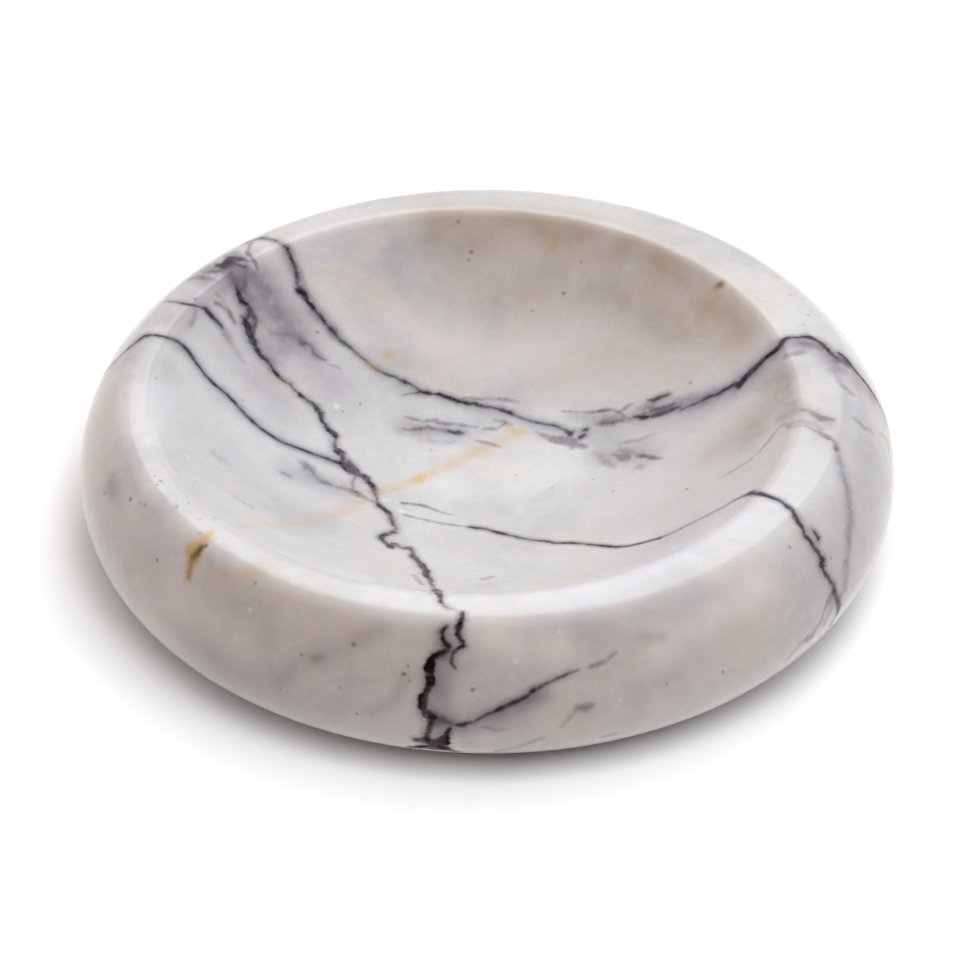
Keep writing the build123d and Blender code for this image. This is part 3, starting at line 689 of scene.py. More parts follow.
def traceOnStone(path, width):
    # points in mm and half widths in mm, for one path of the photograph
    beside, (smallest, largest) = tracing["besideStep"], tracing["pixelScale"]
    nodes = [(p[0], p[1], p[2] if len(p) > 2 else width) for p in path]
    spots = []
    for a, b in zip(nodes, nodes[1:]):
        count = max(1, math.ceil(math.dist(a[:2], b[:2]) / tracing["pixelStep"]))
        spots += [[a[i] + (b[i] - a[i]) * k / count for i in range(3)] for k in range(count)]
    spots.append(list(nodes[-1]))
    points, halves = [], []
    for i, (x, y, w) in enumerate(spots):
        before, after = spots[max(0, i - 1)], spots[min(len(spots) - 1, i + 1)]
        along = (after[0] - before[0], after[1] - before[1])
        length = math.hypot(*along) or 1.0
        point = onStone(x, y)
        neighbour = onStone(x - along[1] / length * beside, y + along[0] / length * beside)
        scale = min(max(np.linalg.norm(neighbour - point) / beside, smallest), largest)
        points.append(point)
        halves.append(w / 2 * scale * tracing["thinning"])
    return np.array(points), np.array(halves)


def traceAll():
    # every vein, stain and grain as a dictionary with its points on the stone
    named = [pair for group in (mainCrack, sideVeins, faintVeins, rustStains) for pair in group.items()]
    # the painted glints are laid on as single spots, like the grains
    for kind in (grains, paintedGlints):
        for x, y, width in kind["places"]:
            named.append(("grain", trace(kind["ink"], width, [(x, y)], kind["soft"], kind["strength"])))
    made = []
    for name, vein in named:
        points, halves = traceOnStone(vein["path"], vein["width"])
        reach = max(halves) + vein["soft"] + tracing["reach"]
        made.append({**vein, "name": name, "points": points, "halves": halves, "range": reach})
    return made


def rangeGap(vein, other):
    # how far apart the ranges of two veins lie, in mm
    apart = np.linalg.norm(vein["points"][:, None] - other["points"][None], axis=2).min()
    return apart - vein["range"] - other["range"]


def shareLayers(veins):
    # veins that come near each other go to different layers, so that neither hides the other
    layers = [[] for _ in range(tracing["layers"])]
    for vein in veins:
        gaps = [min((rangeGap(vein, other) for other in layer), default=math.inf) for layer in layers]
        free = [i for i, gap in enumerate(gaps) if gap > tracing["layerGap"]]
        layers[free[0] if free else int(np.argmax(gaps))].append(vein)
    return layers


def formRows(half, *rest):
    # a row for each half width, with the jag, gaps and soft that all of them share
    return np.stack([half, *(np.full(len(half), value) for value in rest)], 1)


def paintLayer(points, layer):
    # for each point of the mesh: the way from the nearest vein, that vein's form and its ink
    offset = np.full((len(points), 3), tracing["far"])
    form = np.zeros((len(points), 4))
    ink = np.zeros((len(points), 4))
    best = np.full(len(points), np.inf)
    for vein in layer:
        shade = toLinear(veinInks[vein["ink"]]) + [vein["strength"]]
        spots, halves = vein["points"], vein["halves"]
        grain = (spots[0], spots[0] + tiny, halves[0], halves[0])
        for a, b, halfA, halfB in list(zip(spots, spots[1:], halves, halves[1:])) or [grain]:
            low, high = np.minimum(a, b) - vein["range"], np.maximum(a, b) + vein["range"]
            near = np.nonzero(((points > low) & (points < high)).all(1))[0]
            if not len(near):
                continue
            run = b - a
            t = np.clip((points[near] - a) @ run / max(run @ run, tiny**2), 0, 1)
            away = points[near] - a - t[:, None] * run
            distance = np.linalg.norm(away, axis=1)
            half = halfA + (halfB - halfA) * t
            ranked = distance - half
            take = (distance < half + vein["soft"] + tracing["reach"]) & (ranked < best[near])
            chosen = near[take]
            best[chosen] = ranked[take]
            offset[chosen] = away[take]
            form[chosen] = formRows(half[take], vein["jag"], vein["gaps"], vein["soft"])
            ink[chosen] = shade
    return offset, form, ink


def paintClouds(points):
    # the mixed tint at each point, and how much of it there is
    tint, clear = np.zeros((len(points), 3)), np.ones(len(points))
    weight = np.full(len(points), tiny)
    for patch in clouds.values():
        spots, halves = traceOnStone(patch["path"], patch["width"])
        distance = np.linalg.norm(points[:, None] - spots[None], axis=2)
        nearest = distance.argmin(1)
        share = distance[np.arange(len(points)), nearest] / halves[nearest]
        amount = patch["amount"] * np.exp(-share**2 * tracing["cloudFade"])
        tint += amount[:, None] * np.array(toLinear(cloudInks[patch["ink"]]))
        weight += amount
        clear *= 1 - amount
    return np.concatenate([tint / weight[:, None], (1 - clear)[:, None]], 1)


# Where the photograph can't see, the veins run on as warped sheets through the stone

unseenSheets = {
    # follows names the traced veins that a sheet goes through. width, reach and soft are in mm
    "crack": {
        "follows": ("top", "waist", "leftWall"),
        "ink": "wine", "width": 0.8, "reach": 60, "jag": 0.5, "gaps": 0.1, "strength": 0.95},
    "backVein": {
        "follows": ("backRight", "backMiddle", "backFloor", "backEnd", "rightRim"),
        "ink": "navy", "width": 0.45, "reach": 34, "jag": 0.35, "gaps": 0.2, "strength": 0.95},
    "frontVein": {
        "follows": ("frontLong", "frontLongEnd", "frontLip", "frontWall", "frontWallLow"),
        "ink": "plum", "width": 0.42, "reach": 30, "jag": 0.3, "gaps": 0.2, "strength": 0.9},
    "leftVein": {
        "follows": ("leftRim",),
        "ink": "navy", "width": 0.35, "reach": 28, "jag": 0.25, "gaps": 0.25, "strength": 0.85},
    "footVein": {
        "follows": ("footBranch", "footBranchEnd"),
        "ink": "navy", "width": 0.4, "reach": 26, "jag": 0.3, "gaps": 0.4, "strength": 0.8},
    "rightBand": {
        "follows": ("rightFaint", "rightFaintRim", "rightWallBand"),
        "ink": "mauve", "width": 0.6, "reach": 30, "jag": 0.4, "gaps": 0.5, "strength": 0.6, "soft": 0.3},
    "secondVein": {
        "follows": ("leftSecond", "leftSecondTail"),
        "ink": "slate", "width": 0.35, "reach": 26, "jag": 0.3, "gaps": 0.4, "strength": 0.7},
}
sheetWarp = {
    "hold": 5.0,  # how far a traced vein holds the sheet to its own course, in mm
    "waves": ((0.05, 3.0), (0.3, 0.7)),  # bends to a mm, and how far each goes in mm
    "waveShift": (31.0, 7.0),  # so that no two waves draw from the same place of the noise
    "soft": 0.2,
    "reach": 1.2,  # how far beyond its edge the stone still knows a sheet, in mm
    "slab": 12.0,  # how far from its plane a sheet may wander, in mm
    "looseness": 0.1,  # the pull of the traced points at which a sheet is half free of them
    "leastSlope": 0.05,  # keeps a sheet that lies nearly along the surface from growing too wide
    "fadeShare": 0.5,  # of the reach, over which a sheet runs out
    "endWidthShare": 0.6,
}


def readNormals(mesh):
    normals = np.empty(len(mesh.vertices) * 3, np.float32)
    mesh.vertex_normals.foreach_get("vector", normals)
    return normals.reshape(-1, 3)


def findUnseen(points, normals):
    # the points of the stone that the photograph doesn't show
    eye = np.array(camera.matrix_world.translation) / mm
    toEye = eye - points
    toEye /= np.linalg.norm(toEye, axis=1)[:, None]
    facing = (toEye * normals).sum(1)
    unseen = facing < tracing["leastFacing"]
    for i in np.nonzero(~unseen)[0]:
        start = Vector(points[i] + normals[i] * tracing["lift"])
        unseen[i] = dishTree.ray_cast(start, Vector(toEye[i]))[0] is not None
    return unseen


def fitSheet(sheet, veins):
    # the flattest plane through the followed veins, and how far each of their points lies off it
    spots = np.concatenate([vein["points"] for vein in veins if vein["name"] in sheet["follows"]])
    centre = spots.mean(0)
    across = np.linalg.svd(spots - centre)[2][2]
    return spots, centre, across, (spots - centre) @ across


def paintSheet(points, normals, sheet, veins):
    # the points that one sheet reaches, the way from it to each, its half width and its strength there
    spots, centre, across, off = fitSheet(sheet, veins)
    side = (points - centre) @ across
    near = np.nonzero(np.abs(side) < sheetWarp["slab"])[0]
    gap = np.linalg.norm(points[near][:, None] - spots[None], axis=2)
    nearest = gap.min(1)
    near, gap, nearest = (a[nearest < sheet["reach"]] for a in (near, gap, nearest))
    pull = np.exp(-gap**2 / (2 * sheetWarp["hold"] ** 2)) + tiny**2
    held = pull.max(1) / (pull.max(1) + sheetWarp["looseness"])
    bend = held * (pull @ off) / pull.sum(1)
    stepX, stepZ = sheetWarp["waveShift"]
    for index, (rate, amount) in enumerate(sheetWarp["waves"]):
        shift = Vector((index * stepX, sheet["reach"], stepZ))
        waves = np.array([noise.noise(Vector(p) * rate + shift) for p in points[near]])
        bend += amount * waves * (1 - held)
    along = across - (normals[near] @ across)[:, None] * normals[near]
    slope = np.maximum((along**2).sum(1), sheetWarp["leastSlope"])
    offset = along * ((side[near] - bend) / slope)[:, None]
    fade = np.clip((sheet["reach"] - nearest) / (sheetWarp["fadeShare"] * sheet["reach"]), 0, 1)
    endShare = sheetWarp["endWidthShare"]
    half = sheet["width"] / 2 * (endShare + (1 - endShare) * fade)
    return near, offset, half, sheet["strength"] * fade


def paintUnseen(points, normals, unseen, veins, layers):
    # adds the sheets to the painted layers, on the unseen points alone
    for index, sheet in enumerate(unseenSheets.values()):
        offset, form, ink = layers[index % len(layers)]
        chosen = np.nonzero(unseen)[0]
        near, away, half, strength = paintSheet(points[chosen], normals[chosen], sheet, veins)
        soft = sheet.get("soft", sheetWarp["soft"])
        length = np.linalg.norm(away, axis=1)
        spot = chosen[near]
        free = form[spot, 0] == 0
        closer = length - half < np.linalg.norm(offset[spot], axis=1) - form[spot, 0]
        take = (length < half + soft + sheetWarp["reach"]) & (free | closer)
        offset[spot[take]] = away[take]
        form[spot[take]] = formRows(half[take], sheet["jag"], sheet["gaps"], soft)
        shade = toLinear(veinInks[sheet["ink"]])
        ink[spot[take]] = np.concatenate([np.tile(shade, (take.sum(), 1)), strength[take][:, None]], 1)


def spreadMask(mesh, mask, rounds):
    # the mask as numbers from 0 to 1 with soft edges
    ends = np.empty(len(mesh.edges) * 2, np.int32)
    mesh.edges.foreach_get("vertices", ends)
    a, b = ends.reshape(-1, 2).T
    value = mask.astype(float)
    for _ in range(rounds):
        total, count = value.copy(), np.ones(len(value))
        for start, end in ((a, b), (b, a)):
            total += np.bincount(start, value[end], len(value))
            count += np.bincount(start, minlength=len(value))
        value = total / count
    return value


attributeFields = {"FLOAT_VECTOR": "vector", "FLOAT_COLOR": "color", "FLOAT": "value"}


def store(mesh, name, kind, values):
    layer = mesh.attributes.new(name, kind, "POINT")
    layer.data.foreach_set(attributeFields[kind], values.astype(np.float32).ravel())


def paintDish(mesh, points):
    veins = traceAll()
    shared = shareLayers(veins)
    layers = [paintLayer(points, layer) for layer in shared]
    normals = readNormals(mesh)
    unseen = findUnseen(points, normals)
    paintUnseen(points, normals, unseen, veins, layers)
    for index, (offset, form, ink) in enumerate(layers):
        store(mesh, f"veinOffset{index}", "FLOAT_VECTOR", offset)
        store(mesh, f"veinForm{index}", "FLOAT_COLOR", form)
        store(mesh, f"veinInk{index}", "FLOAT_COLOR", ink)
    store(mesh, "cloudTint", "FLOAT_COLOR", paintClouds(points))
    store(mesh, "unseen", "FLOAT", spreadMask(mesh, unseen, tracing["unseenRounds"]))
    print("veins laid on the stone in layers of", [len(layer) for layer in shared])


paintDish(dish.data, dishPoints)


# Material building blocks

def addNode(tree, kind, inputs=None, **settings):
    # a node with its settings; an input is a value or another node's output
    made = tree.nodes.new(kind)
    for name, value in settings.items():
        setattr(made, name, value)
    for name, value in (inputs or {}).items():
        if isinstance(value, bpy.types.NodeSocket):
            tree.links.new(value, made.inputs[name])
        else:
            made.inputs[name].default_value = value
    return made


def newGroup(name, inputs, outputs):
    # a new group, with what it is given and what it gives out
    group = bpy.data.node_groups.new(name, "ShaderNodeTree")
    for way, sockets in (("INPUT", inputs), ("OUTPUT", outputs)):
        for label, kind in sockets.items():
            group.interface.new_socket(label, in_out=way, socket_type="NodeSocket" + kind)
    return group, group.nodes.new("NodeGroupInput").outputs, group.nodes.new("NodeGroupOutput").inputs


def useGroup(tree, group, inputs):
    return addNode(tree, "ShaderNodeGroup", inputs, node_tree=group).outputs


def doMath(tree, operation, a, b=None, clamp=False):
    inputs = {0: a} if b is None else {0: a, 1: b}
    return addNode(tree, "ShaderNodeMath", inputs, operation=operation, use_clamp=clamp).outputs[0]


def doVector(tree, operation, inputs):
    return addNode(tree, "ShaderNodeVectorMath", inputs, operation=operation).outputs[0]


def ramp(tree, value, low, high, start=0.0, end=1.0):
    # a smooth change from start to end while the value goes from low to high
    inputs = {"Value": value, "From Min": low, "From Max": high, "To Min": start, "To Max": end}
    return addNode(tree, "ShaderNodeMapRange", inputs, interpolation_type="SMOOTHSTEP").outputs[0]


def mixColour(tree, share, a, b):
    # the mix node keeps its colours in its sockets 6 and 7, and its mixed colour in 2
    return addNode(tree, "ShaderNodeMix", {0: share, 6: a, 7: b}, data_type="RGBA").outputs[2]


def nodeColour(shade):
    return [*toLinear(shade), 1]


def newMaterial(name):
    material = bpy.data.materials.new(name)
    material.use_nodes = True
    return material, material.node_tree


def placeInMm(tree):
    coords = addNode(tree, "ShaderNodeTexCoord").outputs["Object"]
    return doVector(tree, "SCALE", {0: coords, "Scale": 1 / mm})


def noiseAt(tree, place, scale, detail=2.0, rough=0.5):
    inputs = {"Vector": place, "Scale": scale, "Detail": detail, "Roughness": rough}
    return addNode(tree, "ShaderNodeTexNoise", inputs).outputs


noiseMiddle = 0.5  # a noise goes from 0 to 1, mostly near its middle
wanderNoises = {
    # scale to a mm, detail and roughness. How far the first two move a vein is wanderReach, in mm
    "coarse": (0.9, 2.0, 0.6),
    "fine": (2.6, 3.0, 0.65),
    "swell": (0.5, 2.0, 0.6),
    "break": (1.3, 4.0, 0.65),
    "drift": (0.22, 4.0, 0.6),
}
wanderReach = {"coarse": 1.5, "fine": 0.8}


def makeWanderGroup():
    # how a vein strays from its drawn line, swells and breaks up; places are in mm
    group, given, out = newGroup(
        "veinWander", {"Place": "Vector"},
        {"Wander": "Vector", "Swell": "Float", "Break": "Float", "Drift": "Float"})
    stray = []
    for name, reach in wanderReach.items():
        texture = noiseAt(group, given["Place"], *wanderNoises[name])["Color"]
        centred = doVector(group, "SUBTRACT", {0: texture, 1: (noiseMiddle,) * 3})
        stray.append(doVector(group, "SCALE", {0: centred, "Scale": reach}))
    group.links.new(doVector(group, "ADD", {0: stray[0], 1: stray[1]}), out["Wander"])
    for name, label in (("swell", "Swell"), ("break", "Break"), ("drift", "Drift")):
        group.links.new(noiseAt(group, given["Place"], *wanderNoises[name])["Fac"], out[label])
    return group


veinForm = {
    # (from, to) of the noise or the size, and then what it becomes
    "swelling": (0.3, 0.7, 0.7, 1.25),
    "fullness": (0.35, 0.6, 0.8, 1.0),
    "breaking": (0.58, 0.42),
    "presence": 40.0,  # from a half width of 1 / 40 mm on, a vein is there in full
    "haloStartShare": 0.5,  # of the half width
    "haloReach": 0.9,  # beyond the half width, in mm
    "haloSoft": (0.29, 0.26),  # only veins sharper than this have one
    "haloWidth": (0.08, 0.3, 0.3, 1.0),
}


def makeVeinGroup():
    # one layer of veins, from the way to the nearest vein and that vein's form:
    # the vein itself, and the cool shade that a dark one throws into the stone around it
    group, given, out = newGroup(
        "veinStrand",
        {"Offset": "Vector", "Half Width": "Float", "Jag": "Float", "Gaps": "Float", "Soft": "Float",
         "Wander": "Vector", "Swell": "Float", "Break": "Float", "Halo": "Float"},
        {"Mask": "Float", "Halo": "Float"})
    strayed = doVector(group, "SCALE", {0: given["Wander"], "Scale": given["Jag"]})
    moved = doVector(group, "ADD", {0: given["Offset"], 1: strayed})
    away = addNode(group, "ShaderNodeVectorMath", {0: moved}, operation="LENGTH").outputs["Value"]
    swollen = ramp(group, given["Swell"], *veinForm["swelling"])
    width = doMath(group, "MULTIPLY", given["Half Width"], swollen)
    inner = doMath(group, "SUBTRACT", width, given["Soft"])
    outer = doMath(group, "ADD", width, given["Soft"])
    body = ramp(group, away, inner, outer, 1.0, 0.0)
    there = doMath(group, "MULTIPLY", given["Half Width"], veinForm["presence"], clamp=True)
    holes = doMath(group, "MULTIPLY", given["Gaps"], ramp(group, given["Break"], *veinForm["breaking"]))
    kept = doMath(group, "MULTIPLY", doMath(group, "SUBTRACT", 1.0, holes, clamp=True), there)
    full = doMath(group, "MULTIPLY", kept, ramp(group, given["Swell"], *veinForm["fullness"]))
    group.links.new(doMath(group, "MULTIPLY", body, full), out["Mask"])
    start = doMath(group, "MULTIPLY", given["Half Width"], veinForm["haloStartShare"])
    end = doMath(group, "ADD", given["Half Width"], veinForm["haloReach"])
    around = ramp(group, away, start, end, 1.0, 0.0)
    dark = doMath(group, "MULTIPLY", ramp(group, given["Soft"], *veinForm["haloSoft"]),
                  ramp(group, given["Half Width"], *veinForm["haloWidth"]))
    shade = doMath(group, "MULTIPLY", doMath(group, "MULTIPLY", around, dark), there)
    group.links.new(doMath(group, "MULTIPLY", shade, given["Halo"]), out["Halo"])
    return group


groundNoises = {
    # scale to a mm, detail and roughness
    "bend": (0.05, 2.0, 0.5),
    "cloud": (0.06, 4.0, 0.6),
    "warmth": (0.09, 3.0, 0.5),
    "mottle": (0.55, 4.0, 0.7),
}
groundForm = {
    "bendReach": 14.0,  # how far the clouds are bent, in mm
    "crystals": 2.6,  # to a mm
    # the stretch of each noise over which it takes hold
    "cloud": (0.42, 0.72),
    "warmth": (0.5, 0.75),
    "mottle": (0.3, 0.7),
}


def makeStoneGroup():
    # the ground of the marble: slow clouds, mottling and sugary grain
    group, given, out = newGroup(
        "stoneGround",
        {"Place": "Vector", "Pale": "Color", "Cool": "Color", "Warm": "Color", "Clouding": "Float",
         "Grain": "Float"},
        {"Color": "Color"})
    bend = noiseAt(group, given["Place"], *groundNoises["bend"])["Color"]
    bent = doVector(group, "MULTIPLY_ADD", {0: bend, 1: (groundForm["bendReach"],) * 3, 2: given["Place"]})
    ground = given["Pale"]
    for name, tint in (("cloud", "Cool"), ("warmth", "Warm")):
        field = noiseAt(group, bent, *groundNoises[name])["Fac"]
        share = doMath(group, "MULTIPLY", ramp(group, field, *groundForm[name]), given["Clouding"])
        ground = mixColour(group, share, ground, given[tint])
    mottle = noiseAt(group, given["Place"], *groundNoises["mottle"])["Fac"]
    inputs = {"Vector": given["Place"], "Scale": groundForm["crystals"]}
    crystals = addNode(group, "ShaderNodeTexVoronoi", inputs, feature="F1")
    sugar = addNode(group, "ShaderNodeSeparateColor", {0: crystals.outputs["Color"]}).outputs[0]
    spots = ramp(group, mottle, *groundForm["mottle"], -noiseMiddle, noiseMiddle)
    bright = doMath(group, "ADD", spots, doMath(group, "SUBTRACT", sugar, noiseMiddle))
    level = doMath(group, "ADD", 1.0, doMath(group, "MULTIPLY", bright, given["Grain"]))
    group.links.new(doVector(group, "SCALE", {0: ground, "Scale": level}), out["Color"])
    return group


strayForm = {
    # scale to a mm, width in the noise's own measure, and the scale of the patches that hold them
    "sizes": ((0.018, 0.006, 0.04), (0.045, 0.010, 0.06)),
    "noise": {"Detail": 4.0, "Roughness": 0.42, "Distortion": 0.6},
    "patches": (0.5, 0.65),
}


def makeStrayGroup():
    # faint veins that belong to no traced one, for the sides that the photograph doesn't show
    group, given, out = newGroup("strayVeins", {"Place": "Vector", "Amount": "Float"}, {"Mask": "Float"})
    masks = []
    for scale, width, patch in strayForm["sizes"]:
        inputs = {"Vector": given["Place"], "Scale": scale, **strayForm["noise"]}
        field = addNode(group, "ShaderNodeTexNoise", inputs).outputs["Fac"]
        level = doMath(group, "ABSOLUTE", doMath(group, "SUBTRACT", field, noiseMiddle))
        line = ramp(group, level, 0.0, width, 1.0, 0.0)
        there = ramp(group, noiseAt(group, given["Place"], patch)["Fac"], *strayForm["patches"])
        masks.append(doMath(group, "MULTIPLY", line, there))
    both = doMath(group, "MAXIMUM", *masks)
    group.links.new(doMath(group, "MULTIPLY", both, given["Amount"]), out["Mask"])
    return group


marbleLook = {
    "pale": (0.905, 0.897, 0.898),
    "cool": (0.80, 0.793, 0.81),
    "warm": (0.90, 0.875, 0.84),
    "clouding": 0.85,
    "grain": 0.05,
    "halo": 0.5,
    "haloColour": (0.47, 0.43, 0.50),
    "strayVeins": 0.42,
    "strayColour": (0.50, 0.46, 0.52),
    "cloudPatches": (0.3, 0.7, 0.65, 1.25),  # (from, to) of the slow noise, and the clouds' shares there
    "polish": 1.0,
    "veinPolish": 0.06,
    "polishRange": (0.02, 0.35),  # of the stone's lightness, from the dark veins' polish to the full one
    "roughness": 0.19,
    "innerRoughness": 0.5,
    "subsurface": 1.0,
    "subsurfaceDepth": 2.0,  # in mm
    "subsurfaceSpread": (1.0, 0.75, 0.6),  # of the depth, for red, green and blue
}


def makeMarble(look):
    material, tree = newMaterial("veinedMarble")
    shader = tree.nodes["Principled BSDF"]
    place = placeInMm(tree)
    colour = useGroup(tree, makeStoneGroup(), {
        "Place": place, "Pale": nodeColour(look["pale"]), "Cool": nodeColour(look["cool"]),
        "Warm": nodeColour(look["warm"]), "Clouding": look["clouding"], "Grain": look["grain"]})["Color"]
    wander = useGroup(tree, makeWanderGroup(), {"Place": place})
    tint = addNode(tree, "ShaderNodeAttribute", attribute_name="cloudTint").outputs
    patchy = ramp(tree, wander["Drift"], *look["cloudPatches"])
    share = doMath(tree, "MULTIPLY", tint["Alpha"], patchy, clamp=True)
    colour = mixColour(tree, share, colour, tint["Color"])
    unseen = addNode(tree, "ShaderNodeAttribute", attribute_name="unseen").outputs["Fac"]
    stray = useGroup(tree, makeStrayGroup(), {"Place": place, "Amount": look["strayVeins"]})["Mask"]
    share = doMath(tree, "MULTIPLY", stray, unseen)
    colour = mixColour(tree, share, colour, nodeColour(look["strayColour"]))
    veinGroup = makeVeinGroup()
    for index in range(tracing["layers"]):
        offset, form, ink = (
            addNode(tree, "ShaderNodeAttribute", attribute_name=f"vein{kind}{index}").outputs
            for kind in ("Offset", "Form", "Ink"))
        parts = addNode(tree, "ShaderNodeSeparateColor", {0: form["Color"]}).outputs
        strand = useGroup(tree, veinGroup, {
            "Offset": offset["Vector"], "Half Width": parts[0], "Jag": parts[1], "Gaps": parts[2],
            "Soft": form["Alpha"], "Wander": wander["Wander"], "Swell": wander["Swell"],
            "Break": wander["Break"], "Halo": look["halo"]})
        colour = mixColour(tree, strand["Halo"], colour, nodeColour(look["haloColour"]))
        share = doMath(tree, "MULTIPLY", strand["Mask"], ink["Alpha"])
        colour = mixColour(tree, share, colour, ink["Color"])
    tree.links.new(colour, shader.inputs["Base Color"])
    # the polish lies over the stone and is duller on the dark veins
    paleness = addNode(tree, "ShaderNodeRGBToBW", {0: colour}).outputs[0]
    polish = ramp(tree, paleness, *look["polishRange"], look["veinPolish"], look["polish"])
    tree.links.new(polish, shader.inputs["Coat Weight"])
    shader.inputs["Coat Roughness"].default_value = look["roughness"]
    shader.inputs["Specular IOR Level"].default_value = 0.0
    shader.inputs["Roughness"].default_value = look["innerRoughness"]
    shader.inputs["Subsurface Weight"].default_value = look["subsurface"]
    shader.inputs["Subsurface Radius"].default_value = look["subsurfaceSpread"]
    shader.inputs["Subsurface Scale"].default_value = look["subsurfaceDepth"] * mm
    return material


marble = makeMarble(marbleLook)
dish.data.materials.append(marble)
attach(dish, "root")
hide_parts("marble_dish")
print("marble finished")

# The pads under the stone keep their CAD shape

padLook = {
    "colour": (0.80, 0.80, 0.78),
    "dark": (0.70, 0.70, 0.68),
    "speckle": (2.5, 4.0, 0.6),  # scale to a mm, detail and roughness of the noise
    "darkRange": (0.35, 0.65),
    "roughness": 0.45,
    "roughest": 0.585,
    "roughRange": (0.3, 0.7),
    "bump": 0.05,  # in mm
    "bumpStrength": 0.3,
}


def makePadMaterial(look):
    material, tree = newMaterial("softPad")
    shader = tree.nodes["Principled BSDF"]
    speckle = noiseAt(tree, placeInMm(tree), *look["speckle"])["Fac"]
    pale = ramp(tree, speckle, *look["darkRange"])
    colour = mixColour(tree, pale, nodeColour(look["dark"]), nodeColour(look["colour"]))
    rough = ramp(tree, speckle, *look["roughRange"], look["roughness"], look["roughest"])
    inputs = {"Height": speckle, "Strength": look["bumpStrength"], "Distance": look["bump"] * mm}
    bump = addNode(tree, "ShaderNodeBump", inputs).outputs[0]
    for name, socket in (("Base Color", colour), ("Roughness", rough), ("Normal", bump)):
        tree.links.new(socket, shader.inputs[name])
    return material


padMaterial = makePadMaterial(padLook)
for name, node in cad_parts.items():
    if name.startswith("foot_pad"):
        node.data.materials.clear()
        node.data.materials.append(padMaterial)
print("pads finished")


# The white room: floor, softboxes and the light that comes from all round

def softbox(azimuth, elevation, span, brightness, tint=(1.0, 1.0, 1.0)):
    # azimuth 0 is straight behind the dish and goes up to the right; angles in degrees.
    # brightness 1 is as bright as white paper
    return {
        "azimuth": azimuth, "elevation": elevation, "span": span,
        "brightness": brightness, "tint": tint}


studio = {
    "floorSize": 6000.0,
    "floorShade": (0.90, 0.925, 0.94),  # as it is seen: neutral under the warm room light
    "floorBounce": (0.37, 0.37, 0.37),  # as it lights the dish
    "roomLight": (0.365, 0.30, 0.265),
    "stoneLamps": {
        "backSoftbox": softbox(
            azimuth=-6, elevation=50, span=(27, 28), brightness=2.7, tint=(0.9, 0.96, 1.0)),
        "backGlow": softbox(
            azimuth=0, elevation=45, span=(80, 50), brightness=0.48, tint=(0.82, 0.92, 1.0)),
        "overheadGlow": softbox(azimuth=0, elevation=82, span=(60, 40), brightness=0.22),
        "rightBackFill": softbox(
            azimuth=60, elevation=40, span=(60, 50), brightness=0.42, tint=(0.6, 0.9, 1.0)),
        "rightFill": softbox(
            azimuth=110, elevation=40, span=(40, 50), brightness=0.68, tint=(0.88, 0.94, 1.0)),
        "rightTopGlow": softbox(
            azimuth=60, elevation=75, span=(40, 30), brightness=0.5, tint=(1.0, 0.98, 0.95)),
    },
    "floorLamps": {
        "floorFront": softbox(azimuth=180, elevation=55, span=(28, 28), brightness=7.0),
        "floorRight": softbox(azimuth=150, elevation=55, span=(28, 28), brightness=3.8),
        "floorBack": softbox(azimuth=30, elevation=50, span=(28, 40), brightness=2.2),
        "floorTop": softbox(azimuth=90, elevation=82, span=(28, 28), brightness=2.2),
    },
    "lampDistance": 1200.0,
}


def whenSeen(tree):
    # 1 for what the camera, a reflection or a glass ray sees, 0 for the light on other things
    path = addNode(tree, "ShaderNodeLightPath").outputs
    seen = doMath(tree, "MAXIMUM", path["Is Camera Ray"], path["Is Glossy Ray"])
    return doMath(tree, "MAXIMUM", seen, path["Is Transmission Ray"])


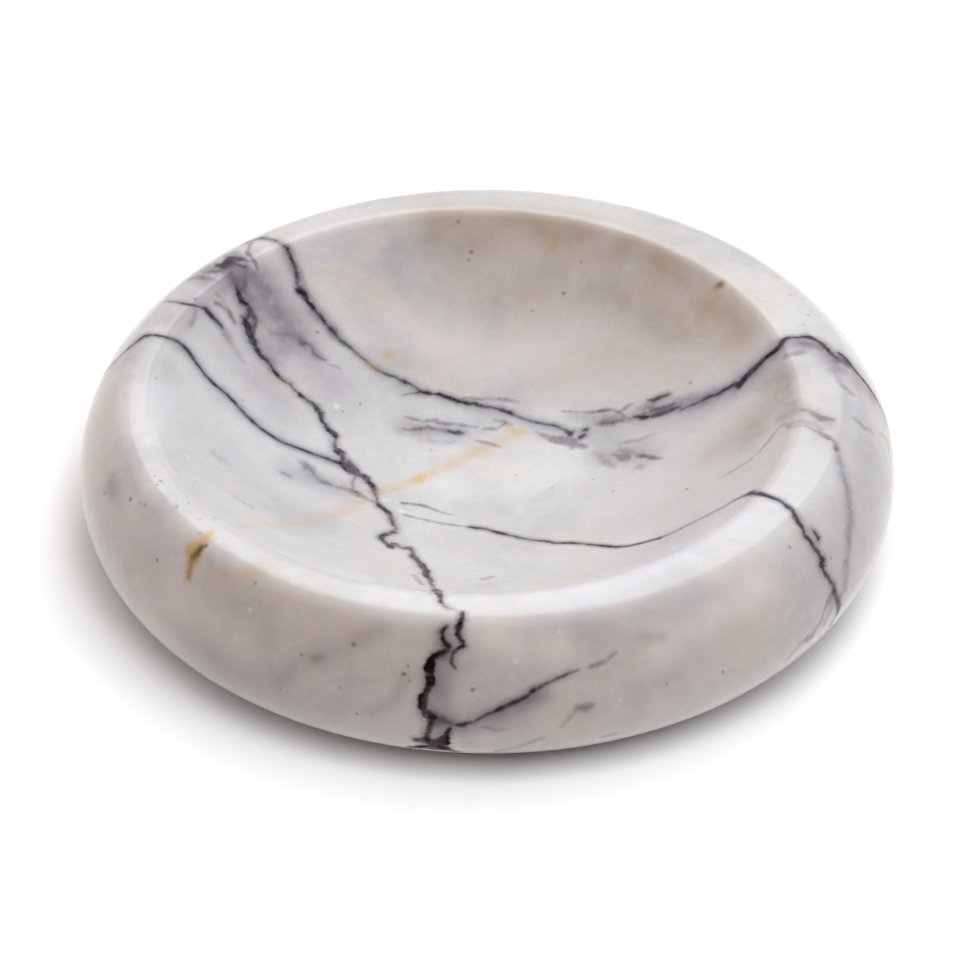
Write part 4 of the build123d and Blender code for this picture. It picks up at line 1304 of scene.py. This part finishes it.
def makeFloor(setup):
    half = setup["floorSize"] * mm / 2
    corners = [(-half, -half, 0), (half, -half, 0), (half, half, 0), (-half, half, 0)]
    mesh = bpy.data.meshes.new("studioFloor")
    mesh.from_pydata(corners, [], [range(4)])
    floor = bpy.data.objects.new("studioFloor", mesh)
    bpy.context.scene.collection.objects.link(floor)
    material, tree = newMaterial("whiteFloor")
    tree.nodes.remove(tree.nodes["Principled BSDF"])
    colour = mixColour(tree, whenSeen(tree), [*setup["floorBounce"], 1], [*setup["floorShade"], 1])
    shader = addNode(tree, "ShaderNodeBsdfDiffuse", {"Color": colour})
    tree.links.new(shader.outputs[0], tree.nodes["Material Output"].inputs["Surface"])
    mesh.materials.append(material)
    return floor


def makeRoom(setup):
    world = bpy.data.worlds.new("whiteRoom")
    bpy.context.scene.world = world
    world.use_nodes = True
    tree = world.node_tree
    colour = mixColour(tree, whenSeen(tree), [*setup["roomLight"], 1], [1, 1, 1, 1])
    tree.links.new(colour, tree.nodes["Background"].inputs["Color"])


def floorLinks(name, floor, state):
    # a list for the lamps that light the floor alone, or all but the floor
    links = bpy.data.collections.new(name)
    links.objects.link(floor)
    links.collection_objects[0].light_linking.link_state = state
    return links


def makeLamps(lamps, links, distance):
    for name, lamp in lamps.items():
        azimuth, elevation = math.radians(lamp["azimuth"]), math.radians(lamp["elevation"])
        flat = math.cos(elevation)
        way = Vector((math.sin(azimuth) * flat, math.cos(azimuth) * flat, math.sin(elevation)))
        data = bpy.data.lights.new(name, "AREA")
        data.shape = "RECTANGLE"
        data.size, data.size_y = (2 * distance * math.tan(math.radians(angle / 2)) for angle in lamp["span"])
        data.energy = math.pi * data.size * data.size_y * lamp["brightness"]
        data.color = lamp["tint"]
        made = bpy.data.objects.new(name, data)
        bpy.context.scene.collection.objects.link(made)
        made.location = way * distance
        made.rotation_mode = "QUATERNION"
        made.rotation_quaternion = (-way).to_track_quat("-Z", "Y")
        made.light_linking.receiver_collection = links


floor = makeFloor(studio)
makeRoom(studio)
makeLamps(studio["stoneLamps"], floorLinks("allButFloor", floor, "EXCLUDE"), studio["lampDistance"] * mm)
makeLamps(studio["floorLamps"], floorLinks("floorAlone", floor, "INCLUDE"), studio["lampDistance"] * mm)
bpy.context.scene.view_settings.view_transform = "Standard"
print("room lit")
